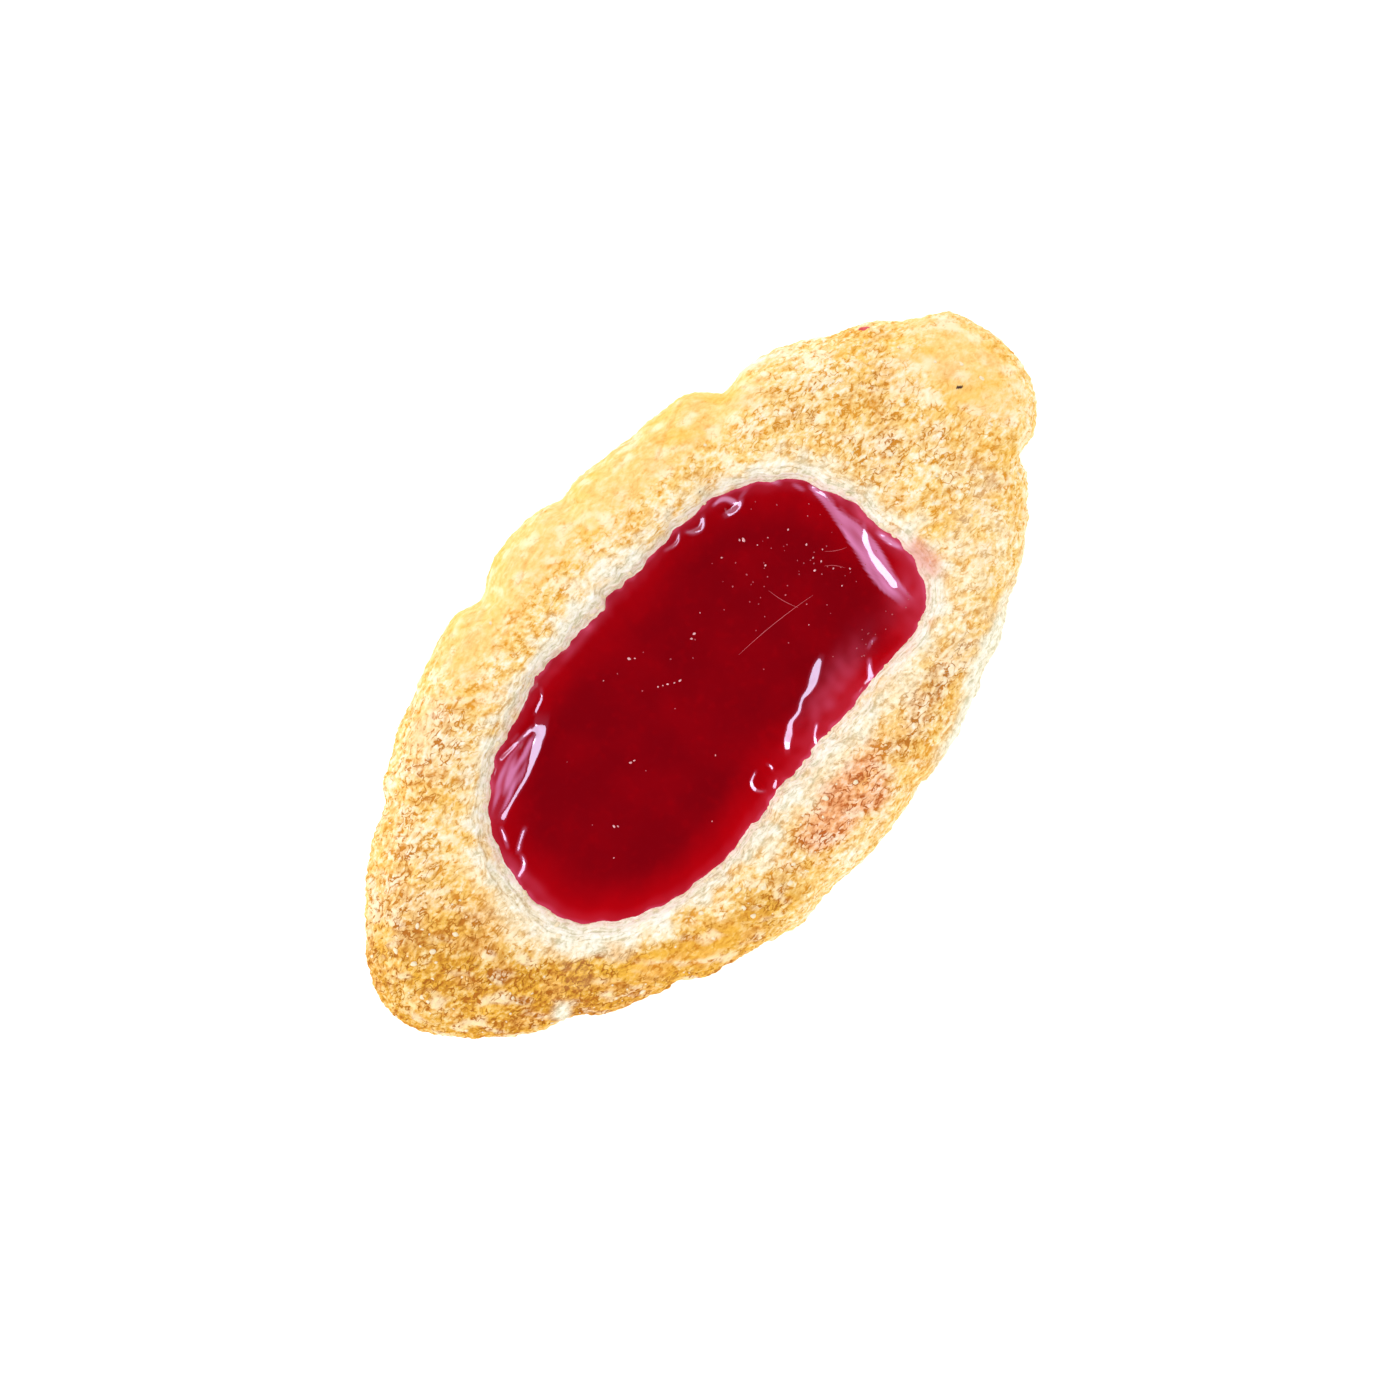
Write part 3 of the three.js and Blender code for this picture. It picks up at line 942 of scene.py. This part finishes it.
FOLD_LEAST_HALF = 0.11
FOLD_LEAST_END = 0.2
FOLD_INSIDE_EDGE = 0.08
STREAK_LENGTH, STREAK_WIDTH, STREAK_LIFT = 2.2, 0.32, 0.2
STREAK_DIMMING, STREAK_CONTRAST = 3, 10
PATH_RUN_ON = 6.0

# Where the jam is pinker, partly cloudy skin and partly painted reflection of the room: centre,
# size, turn in degrees, and how strongly.
JAM_VEILS_AND_REFLECTION = (
    ((5.8, -7.4), (3.8, 1.0), 10, 0.42),
    ((14.8, -7.0), (2.2, 1.2), 30, 0.4),
    ((16.6, 0.0), (0.4, 5.0), 0, 0.3),
    ((-15.5, 6.0), (2.0, 0.6), 35, 0.3),
    ((-19.0, 1.0), (0.4, 3.0), 0, 0.3),
    ((-3.0, 8.6), (3.0, 0.3), 3, 0.4),
)


def rounded_path(corners, rounds=2):
    """The corners of a path cut off, twice over, so that it bends in a curve."""
    path = np.array(corners)
    for _ in range(rounds):
        nearer = 0.75 * path[:-1] + 0.25 * path[1:]
        farther = 0.25 * path[:-1] + 0.75 * path[1:]
        between = np.stack([nearer, farther], axis=1).reshape(-1, path.shape[1])
        path = np.concatenate([path[:1], between[1:-1], path[-1:]])
    return path


def beside_path(path, x, y):
    """For each place: how far along a path it is, how far to its right, and the width there."""
    tips = []
    for tip, neighbour in ((path[0], path[1]), (path[-1], path[-2])):
        way = (tip - neighbour)[:2]
        tips.append(np.append(PATH_RUN_ON * way / np.hypot(*way), 0) + tip)
    path = np.concatenate([tips[:1], path, tips[1:]])
    steps = np.diff(path[:, :2], axis=0)
    lengths = np.hypot(steps[:, 0], steps[:, 1])
    travelled = np.concatenate([[0], np.cumsum(lengths)])
    nearest = np.full(len(x), np.inf)
    along, right = np.zeros(len(x)), np.zeros(len(x))
    for start, step, length, before in zip(path, steps, lengths, travelled):
        from_x, from_y = x - start[0], y - start[1]
        forward = np.clip((from_x * step[0] + from_y * step[1]) / length, 0, length)
        distance = np.hypot(from_x - forward * step[0] / length, from_y - forward * step[1] / length)
        closer = distance < nearest
        side = np.where(from_x * step[1] < from_y * step[0], -1, 1)
        nearest = np.where(closer, distance, nearest)
        along = np.where(closer, before + forward, along)
        right = np.where(closer, side * distance, right)
    return along - PATH_RUN_ON, right, np.interp(along, travelled, path[:, 2])


def fold_shape(fold, x, y, waver):
    """How high a fold of the skin lifts each place, and its share of cloudy skin and painted reflection.
    """
    corners, steep, reflection_and_cloud_share, streaky = fold
    path = rounded_path(corners)
    length = float(np.sum(np.hypot(*np.diff(path[:, :2], axis=0).T)))
    along, aside, width = beside_path(path, x, y)
    aside = aside + FOLD_WAVER * waver
    half = np.maximum(width / 2, FOLD_LEAST_HALF)
    start_fade = max(FOLD_LEAST_END, corners[0][2])
    end_fade = max(FOLD_LEAST_END, corners[-1][2])
    ends = smooth(-start_fade, start_fade, along) * smooth(-end_fade, end_fade, length - along)
    climb = np.hypot(aside + half, FOLD_CORNER) - np.hypot(aside - half, FOLD_CORNER)
    over = np.maximum(np.abs(aside) - half, 0)
    away = over / (FOLD_FADE * (FOLD_LEAST_FADE + half))
    # A narrow fold is all corner, so it is made steeper to reach its steepness in its middle.
    height = steep * np.hypot(half, FOLD_CORNER) / half * ends * climb / 2 * np.exp(-(away**2))
    inside = ends * (1 - smooth(-FOLD_INSIDE_EDGE, FOLD_INSIDE_EDGE, np.abs(aside) - half))
    # Streaks lift the skin a little and break its painted reflection into brighter and dimmer bands.
    if streaky:
        drawn = np.column_stack([along / STREAK_LENGTH, aside / STREAK_WIDTH, 0 * x])
        streaks = noise_at(drawn, 1.0, 79)
        height = height + STREAK_LIFT * streaky * inside * streaks
        shine = 1 - STREAK_DIMMING * streaky + STREAK_CONTRAST * streaky * streaks
        inside = inside * np.clip(shine, 0.05, 1.2)
    return height, reflection_and_cloud_share * inside


def jam_skin(x, y):
    """The height of the jam's skin, and its share of cloudy skin and painted reflection."""
    gap = well_gap(x, y)
    angle = np.arctan2(y - JAM_CENTRE[1], x - JAM_CENTRE[0])
    places = np.column_stack([x, y, np.zeros_like(x)])
    facing = np.cos(angle) * CREEP_WAY[0] + np.sin(angle) * CREEP_WAY[1]
    height = JAM_LEVEL + CREEP_HEIGHT * facing * np.exp(np.minimum(gap, 0) / CREEP_WIDTH)
    waver = noise_at(places, WAVER_SIZE, 51) + 0.5 * noise_at(places, FINE_WAVER_SIZE, 57)
    cloud_and_reflection = np.zeros_like(x)
    for fold in JAM_FOLDS:
        lift, cloud = fold_shape(fold, x, y, waver)
        height = height + lift
        cloud_and_reflection = np.maximum(cloud_and_reflection, cloud)
    # The set skin is never quite level, and it puckers along the wall.
    pucker = np.exp(np.minimum(gap, 0) / PUCKER_WIDTH)
    height = height + PUCKER_HEIGHT * pucker * noise_at(places, PUCKER_SIZE, 61)
    height = height + SWAY_HEIGHT * noise_at(places, SWAY_SIZE, 67)
    return height + DIMPLE_HEIGHT * noise_at(places, DIMPLE_SIZE, 71), cloud_and_reflection


def jam_rings():
    """Rings from the hidden underside of the jam, out to the wall and in over the skin."""
    angles = np.linspace(0, 2 * math.pi, JAM_SPOKES, endpoint=False)
    ray_x, ray_y = np.cos(angles), np.sin(angles)
    reach = jam_reach(JAM_CENTRE[0] + ray_x, JAM_CENTRE[1] + ray_y)
    rings = []
    for gap, height in JAM_UNDERSIDE:
        x = JAM_CENTRE[0] + ray_x * (reach + gap)
        y = JAM_CENTRE[1] + ray_y * (reach + gap)
        rings.append(np.column_stack([x, y, np.full(JAM_SPOKES, height)]))
    for share in np.linspace(1, 0, JAM_RINGS, endpoint=False):
        # Rings crowd towards the edge, where the skin bends most.
        distance = (reach + JAM_OVERLAP) * (1 - (1 - share) ** RING_CROWDING)
        x = JAM_CENTRE[0] + ray_x * distance
        y = JAM_CENTRE[1] + ray_y * distance
        rings.append(np.column_stack([x, y, jam_skin(x, y)[0]]))
    return np.array(rings)


jam_stack = jam_rings()
centre_height = float(jam_skin(np.array([JAM_CENTRE[0]]), np.array([JAM_CENTRE[1]]))[0][0])
jam_mesh = ring_mesh(
    "jam_set",
    jam_stack,
    first=(*JAM_CENTRE, JAM_UNDERSIDE[0][1]),
    last=(*JAM_CENTRE, centre_height),
)
jam = place_object("jam_set", jam_mesh)
jam_x = np.append(jam_stack[:, :, 0].ravel(), (JAM_CENTRE[0],) * 2)
jam_y = np.append(jam_stack[:, :, 1].ravel(), (JAM_CENTRE[1],) * 2)
jam_gap = well_gap(jam_x, jam_y)
# The jam is thinnest, and so brightest, along the lower side of the well.
THIN, LOW_SIDE_THINNER, LEFT_THINNER = 0.57, 0.42, 0.005
thin_side = THIN + LOW_SIDE_THINNER * smooth(-2.0, -7.0, jam_y) - LEFT_THINNER * jam_x
keep_numbers(jam_mesh, "thin", smooth(-4.5, 0.3, jam_gap) * np.clip(thin_side, 0, 1))
# Paler skin lies in a rippled fringe along the wall, and in veils that are partly painted
# reflection.
RIPPLE_SIZE, RIPPLE = 0.9, 0.3
WIDE_FRINGE, NARROW_FRINGE = 0.2, 0.7
ripple = RIPPLE * noise_at(np.column_stack([jam_x, jam_y, 0 * jam_x]), RIPPLE_SIZE, 73)
fringe = WIDE_FRINGE * smooth(-1.2, 0.1, jam_gap)
fringe = fringe + NARROW_FRINGE * smooth(-0.3, 0.2, jam_gap + ripple)
veils_and_reflection = sum_patches(JAM_VEILS_AND_REFLECTION, jam_x, jam_y) * (1 + 3 * ripple)
keep_numbers(jam_mesh, "skin", np.clip(fringe + veils_and_reflection, 0, 1))
# The folds' colour that is partly cloudy skin and partly painted reflection.
keep_numbers(jam_mesh, "cloud_and_reflection", jam_skin(jam_x, jam_y)[1])

# Set jam: deep red where it is thick, bright red where the sponge shines through it, and
# glossy as wet glass. On its folds it is mauve, partly cloudy skin and partly painted reflection.
JAM_DEEP = "#7C000B"
JAM_BRIGHT = "#B8000B"
JAM_THIN = "#CE4868"
JAM_CLOUD_AND_REFLECTION = "#DA84B4"

# Patterns in the jam: size, detail, where each starts and is full, and its strength.
JAM_PATTERNS = ((4.5, 3.0, 0.35, 0.7, 0.16), (0.7, 2.0, 0.5, 0.8, 0.12))


def set_jam():
    made, tree = new_material("set_red_jam")
    place = add_node(tree, "ShaderNodeTexCoord").outputs["Object"]
    in_mm = add_node(
        tree, "ShaderNodeMapping", {"Vector": place, "Scale": (1000, 1000, 1000)}
    ).outputs[0]
    thin, skin, cloud_and_reflection = (
        add_node(tree, "ShaderNodeAttribute", attribute_name=name).outputs["Fac"]
        for name in ("thin", "skin", "cloud_and_reflection")
    )
    for size, detail, low, high, strength in JAM_PATTERNS:
        pattern = add_node(
            tree, "ShaderNodeTexNoise", {"Vector": in_mm, "Scale": 1 / size, "Detail": detail}
        ).outputs["Fac"]
        clear = add_node(
            tree,
            "ShaderNodeMapRange",
            {"Value": pattern, "From Min": low, "From Max": high, "To Max": strength},
            interpolation_type="SMOOTHSTEP",
        ).outputs[0]
        thin = add_node(tree, "ShaderNodeMath", {0: thin, 1: clear}, use_clamp=True).outputs[0]
    colour = linear(JAM_DEEP)
    for share, over in ((thin, JAM_BRIGHT), (skin, JAM_THIN), (cloud_and_reflection, JAM_CLOUD_AND_REFLECTION)):
        colour = add_node(
            tree, "ShaderNodeMix", {0: share, 6: colour, 7: linear(over)}, data_type="RGBA"
        ).outputs[2]
    shader = add_node(
        tree,
        "ShaderNodeBsdfPrincipled",
        {
            "Base Color": colour,
            "Roughness": 0.05,
            "IOR": 1.85,
            "Specular Tint": linear("#D8E0FF"),
        },
    )
    add_node(tree, "ShaderNodeOutputMaterial", {"Surface": shader.outputs[0]})
    return made


jam_finish = set_jam()
jam_mesh.materials.append(jam_finish)
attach(jam, "root")
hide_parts("jam_filling")


# Small bits
# Pale grains of sugar and flour that baked onto the crust, crumbs that broke off round the
# well, a splash of jam and a few burnt crumbs, and the air bubbles, pulp specks and fine
# scratches in the jam's skin. Each is small, and sunk to about half its height.

chance = random.Random(7)
SHADE_SIZE = 0.25


def lump_shape():
    """The points and faces of a unit ball, from an icosahedron with each face cut in four."""
    ball = bmesh.new()
    bmesh.ops.create_icosphere(ball, subdivisions=2, radius=1.0)
    points = np.array([vert.co[:] for vert in ball.verts])
    faces = np.array([[vert.index for vert in face.verts] for face in ball.faces])
    ball.free()
    return points, faces


BALL_POINTS, BALL_FACES = lump_shape()


def lump_piece(name, lumps, finish):
    """One mesh of many small lumps, each with a place, a way up, radii, a turn and a seed."""
    points, faces = [], []
    for place, up, radii, turn, seed in lumps:
        up = Vector(up).normalized()
        side = up.orthogonal().normalized()
        side.rotate(Quaternion(up, turn))
        axes = np.array([side, up.cross(side), up])
        dents = [1 + 0.55 * noise.noise((x * 0.9 + seed, y * 0.9, z * 0.9)) for x, y, z in BALL_POINTS]
        lump = BALL_POINTS * np.array(dents)[:, None] * radii
        faces.append(BALL_FACES + len(points) * len(BALL_POINTS))
        points.append(lump @ axes + place)
    mesh = bpy.data.meshes.new(name)
    mesh.from_pydata((np.concatenate(points) * MM).tolist(), [], np.concatenate(faces).tolist())
    mesh.shade_smooth()
    mesh.materials.append(finish)
    piece = place_object(name, mesh)
    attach(piece, "root")
    return piece


def plain_finish(name, colour, roughness):
    made, tree = new_material(name)
    place = add_node(tree, "ShaderNodeTexCoord").outputs["Object"]
    shade = add_node(
        tree, "ShaderNodeTexNoise", {"Vector": place, "Scale": 1000 / SHADE_SIZE, "Detail": 1.0}
    ).outputs["Fac"]
    darker = tuple(0.75 * channel for channel in linear(colour)[:3]) + (1.0,)
    tint = add_node(
        tree, "ShaderNodeMix", {0: shade, 6: linear(colour), 7: darker}, data_type="RGBA"
    ).outputs[2]
    shader = add_node(
        tree, "ShaderNodeBsdfPrincipled", {"Base Color": tint, "Roughness": roughness}
    )
    add_node(tree, "ShaderNodeOutputMaterial", {"Surface": shader.outputs[0]})
    return made


crust_points = crust_rings.reshape(-1, 3)
crust_ways = ring_normals(smooth_rings).reshape(-1, 3)
crust_gap = well_gap(crust_points[:, 0], crust_points[:, 1])


def crust_spot(x, y):
    """The point of the crust above a place, and the way out of it."""
    upward = crust_ways[:, 2] > 0.05
    away = np.hypot(crust_points[:, 0] - x, crust_points[:, 1] - y) + np.where(upward, 0, 100)
    nearest = int(np.argmin(away))
    return crust_points[nearest], crust_ways[nearest]


# Pale grains lie thickest on the left tip, along the lower edge and in the right field.
GRAIN_GROUNDS = (
    ((-27.0, 0.0), (6.0, 8.0), 0, 1.0),
    ((-17.0, -11.5), (9.0, 2.5), -24, 0.9),
    ((0.0, -13.5), (12.0, 2.5), 0, 0.9),
    ((23.0, 0.0), (8.0, 8.0), 0, 0.6),
    ((-17.0, 10.5), (8.0, 3.0), 26, 0.6),
    ((0.0, 11.5), (9.0, 2.0), 0, 0.35),
)
GRAIN_COUNT = 160
EDGE_CRUMB_COUNT = 90
grain_chance = sum_patches(GRAIN_GROUNDS, crust_points[:, 0], crust_points[:, 1])
grain_chance *= (crust_gap > 0.4) * (crust_ways[:, 2] > 0.25)
# Spokes crowd round the well, so a point there counts for less.
grain_chance *= np.hypot(crust_points[:, 0], crust_points[:, 1]) / HALF_LENGTH
running = np.cumsum(grain_chance)
pale_lumps = []
for _ in range(GRAIN_COUNT):
    pick = int(np.searchsorted(running, chance.random() * running[-1]))
    size = 0.07 + 0.13 * chance.random() ** 2.5
    radii = (size * chance.uniform(1.0, 1.5), size, size * 0.5)
    pale_lumps.append(
        (crust_points[pick], crust_ways[pick], radii, chance.uniform(0, 6.28), chance.uniform(0, 99))
    )

# The crumbs at the well's edge stand where the wall meets the jam.
for _ in range(EDGE_CRUMB_COUNT):
    angle = chance.uniform(0, 2 * math.pi)
    x, y = JAM_CENTRE[0] + math.cos(angle), JAM_CENTRE[1] + math.sin(angle)
    distance = float(jam_reach(np.array(x), np.array(y))) + chance.uniform(0.05, 0.7)
    spot, way = crust_spot(
        JAM_CENTRE[0] + math.cos(angle) * distance, JAM_CENTRE[1] + math.sin(angle) * distance
    )
    size = chance.uniform(0.10, 0.20)
    radii = (size * chance.uniform(1.0, 1.6), size, size * 0.6)
    pale_lumps.append((spot, way, radii, chance.uniform(0, 6.28), chance.uniform(0, 99)))

# Pale grains: flour and sugar, matt and cream-white.
lump_piece("pale_grains", pale_lumps, plain_finish("pale_grain", "#F8E8C4", 0.7))

# The splash of jam and the burnt crumbs.
spot, way = crust_spot(26.9, 8.3)
lump_piece(
    "jam_splash",
    [
        (spot, way, (0.42, 0.26, 0.10), 0.4, 3.0),
        (spot + (-0.25, 0.25, 0.0), way, (0.20, 0.16, 0.08), 1.2, 8.0),
    ],
    plain_finish("splashed_jam", "#D8343A", 0.3),
)
BURNT_PLACES = ((28.0, 0.45, 0.10), (28.15, 0.38, 0.11), (28.28, 0.24, 0.10), (10.0, 9.2, 0.06))
burnt_lumps = []
for x, y, size in BURNT_PLACES:
    spot, way = crust_spot(x, y)
    burnt_lumps.append((spot, way, (size * 1.4, size * 0.8, size * 0.7), 2.4, x))
lump_piece("burnt_crumb", burnt_lumps, plain_finish("burnt_crumb", "#4A2A18", 0.8))

# Bubbles in the skin: the places that show in the jam, and a radius for each.
BUBBLES = (
    (-2.3, 5.0, 0.12),
    (-2.0, 4.7, 0.06),
    (-2.4, 2.1, 0.07),
    (-2.1, 1.9, 0.06),
    (-1.8, 1.7, 0.08),
    (-1.4, 1.4, 0.06),
    (-1.0, 1.2, 0.10),
    (-7.8, -0.1, 0.10),
    (-7.5, -0.2, 0.07),
    (-12.0, -2.3, 0.10),
    (-11.8, -2.5, 0.07),
    (-13.7, -3.8, 0.06),
    (-3.3, -4.3, 0.06),
    (2.2, 2.7, 0.10),
    (1.8, 2.6, 0.08),
    (9.6, 4.6, 0.14),
    (9.4, 4.8, 0.08),
    (7.6, 4.9, 0.07),
    (9.3, 2.2, 0.08),
    (12.3, 2.7, 0.07),
    (12.4, 1.0, 0.09),
    (12.0, 0.0, 0.07),
    (11.4, -0.7, 0.09),
    (12.2, -0.6, 0.07),
    (12.9, -0.1, 0.06),
    (12.4, -1.6, 0.07),
    (13.2, -2.5, 0.07),
    (11.9, -2.9, 0.06),
    (10.0, 3.6, 0.05),
    (10.9, 3.4, 0.05),
    (3.6, 3.4, 0.05),
    (-7.0, -7.3, 0.05),
    (8.2, -3.0, 0.05),
    (-4.7, 5.3, 0.05),
)


def on_jam(x, y):
    return np.array([x, y, float(jam_skin(np.array([x]), np.array([y]))[0][0])])


bubble_lumps = [
    (on_jam(x, y), (0, 0, 1), (radius * 1.1, radius * 0.8, radius * 0.6), x, y)
    for x, y, radius in BUBBLES
]
# The bubbles' pale pink is a painted glint, besides the gloss of their domes.
lump_piece("jam_bubbles", bubble_lumps, plain_finish("jam_bubble_painted_glint", "#E8A8B0", 0.2))

# Specks of fruit pulp, most of them at the right: the middle of each group, its spread and count.
SPECK_GROUPS = (
    ((11.0, 0.5), (3.5, 3.0), 60),
    ((11.5, -7.0), (2.0, 0.5), 14),
    ((-1.0, 2.0), (6.0, 3.0), 14),
)
pulp_lumps = []
for centre, spread, count in SPECK_GROUPS:
    for _ in range(count):
        x, y = chance.gauss(centre[0], spread[0]), chance.gauss(centre[1], spread[1])
        if well_gap(np.array(x), np.array(y)) < -1.0:
            radius = chance.uniform(0.03, 0.06)
            pulp_lumps.append((on_jam(x, y), (0, 0, 1), (radius, radius, radius * 0.6), x, y))
lump_piece("jam_pulp", pulp_lumps, plain_finish("jam_pulp", "#B84A58", 0.3))

# Scratches in the skin: their ends, and how far each bows aside.
SCRATCHES = (
    ((3.2, -0.7), (10.0, -1.8), -0.15),
    ((8.1, 0.8), (8.6, -1.6), 0.1),
    ((12.9, -0.3), (14.2, -1.3), 0.1),
    ((12.1, -1.0), (13.0, -2.2), -0.1),
)
SCRATCH_RADIUS = 0.022
SCRATCH_STEPS = 40
SCRATCH_SIDES = 6


def scratch_mesh(name):
    """Thin ridges that follow the skin between their ends."""
    points, faces = [], []
    for start, end, bow in SCRATCHES:
        run = np.subtract(end, start)
        aside = np.array([run[1], -run[0]]) / np.linalg.norm(run)
        first = len(points)
        for step in range(SCRATCH_STEPS + 1):
            share = step / SCRATCH_STEPS
            x, y = np.add(start, run * share) + aside * (bow * 4 * share * (1 - share))
            radius = SCRATCH_RADIUS * (0.35 + 0.65 * math.sin(math.pi * share))
            middle = on_jam(x, y)
            for corner in range(SCRATCH_SIDES):
                turn = corner * math.pi / (SCRATCH_SIDES / 2)
                sideways = aside * radius * math.cos(turn)
                points.append(middle + (*sideways, radius * math.sin(turn)))
        for step in range(SCRATCH_STEPS):
            low = first + step * SCRATCH_SIDES
            high = low + SCRATCH_SIDES
            for corner in range(SCRATCH_SIDES):
                after = (corner + 1) % SCRATCH_SIDES
                faces.append((low + corner, low + after, high + after, high + corner))
        end_ring = first + SCRATCH_STEPS * SCRATCH_SIDES
        faces.append(tuple(first + corner for corner in reversed(range(SCRATCH_SIDES))))
        faces.append(tuple(end_ring + corner for corner in range(SCRATCH_SIDES)))
    mesh = bpy.data.meshes.new(name)
    mesh.from_pydata((np.array(points) * MM).tolist(), [], faces)
    mesh.shade_smooth()
    return mesh


scratches = scratch_mesh("jam_scratches")
scratches.materials.append(plain_finish("scratched_jam", "#C8505C", 0.3))
scratched = place_object("jam_scratches", scratches)
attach(scratched, "root")


# The floor, the light and the camera
# A plain pale floor in a white room, two windows to one side that only the jam's gloss shows,
# and a dark ceiling, so that the level jam stays deep red. The camera looks straight down.

floor_mesh = bpy.data.meshes.new("floor")
floor_mesh.from_pydata([(-2, -2, 0), (2, -2, 0), (2, 2, 0), (-2, 2, 0)], [], [(0, 1, 2, 3)])
floor = place_object("floor", floor_mesh)
floor_finish, floor_tree = new_material("pale_floor")
floor_shader = add_node(
    floor_tree,
    "ShaderNodeBsdfPrincipled",
    {
        "Base Color": linear("#F4F4F4"),
        "Roughness": 0.7,
        "Emission Color": (1, 1, 1, 1),
        "Emission Strength": 0.5,
    },
)
add_node(floor_tree, "ShaderNodeOutputMaterial", {"Surface": floor_shader.outputs[0]})
floor_mesh.materials.append(floor_finish)

ROOM_LIGHT = 1.40
CEILING_STARTS = 0.72
CEILING_FULL = 0.80
CEILING_LIGHT = 0.006

room = bpy.data.worlds.new("room")
room.use_nodes = True
room_tree = room.node_tree
room_tree.nodes.clear()
direction = add_node(room_tree, "ShaderNodeTexCoord").outputs["Generated"]
upward = add_node(room_tree, "ShaderNodeSeparateXYZ", {0: direction}).outputs[2]
brightness = add_node(
    room_tree,
    "ShaderNodeMapRange",
    {
        "Value": upward,
        "From Min": CEILING_STARTS,
        "From Max": CEILING_FULL,
        "To Min": ROOM_LIGHT,
        "To Max": CEILING_LIGHT,
    },
    interpolation_type="SMOOTHSTEP",
).outputs[0]
glow = add_node(
    room_tree, "ShaderNodeBackground", {"Color": linear("#FFFDF8"), "Strength": brightness}
)
add_node(room_tree, "ShaderNodeOutputWorld", {"Surface": glow.outputs[0]})
bpy.context.scene.world = room


def softbox(name, bearing, elevation, width, height, watts, mirrored):
    """An area light a metre from the biscuit, in a direction in degrees.

    Where it is mirrored only the jam's gloss shows it, and otherwise it only lights."""
    light = bpy.data.lights.new(name, "AREA")
    light.shape = "RECTANGLE"
    light.size, light.size_y = width, height
    light.energy = watts
    light.color = linear("#FBF8FF")[:3]
    lamp = place_object(name, light)
    turn, tilt = math.radians(bearing), math.radians(elevation)
    lamp.location = (
        math.cos(turn) * math.cos(tilt),
        math.sin(turn) * math.cos(tilt),
        math.sin(tilt),
    )
    lamp.rotation_euler = lamp.location.to_track_quat("Z", "Y").to_euler()
    lamp.visible_diffuse = not mirrored
    lamp.visible_glossy = mirrored


softbox("window", 112, 44, 1.5, 0.36, 13.0, True)
softbox("far_window", 162, 43, 0.73, 0.36, 8.3, True)
softbox("overhead_panel", 135, 75, 1.0, 1.0, 5.4, False)

VIEW_HEIGHT = 0.45
VIEW_WIDTH = 101.43 * MM
VIEW_CENTRE = (-1.08 * MM, -0.80 * MM)
VIEW_ROLL = -48

camera = bpy.data.cameras.new("camera")
camera.sensor_width = 36
camera.lens = camera.sensor_width * (VIEW_HEIGHT - BELLY_HEIGHT * MM) / VIEW_WIDTH
viewer = place_object("camera", camera)
viewer.location = (*VIEW_CENTRE, VIEW_HEIGHT)
viewer.rotation_euler = (0, 0, math.radians(VIEW_ROLL))
bpy.context.scene.camera = viewer
bpy.context.scene.view_settings.view_transform = "Standard"
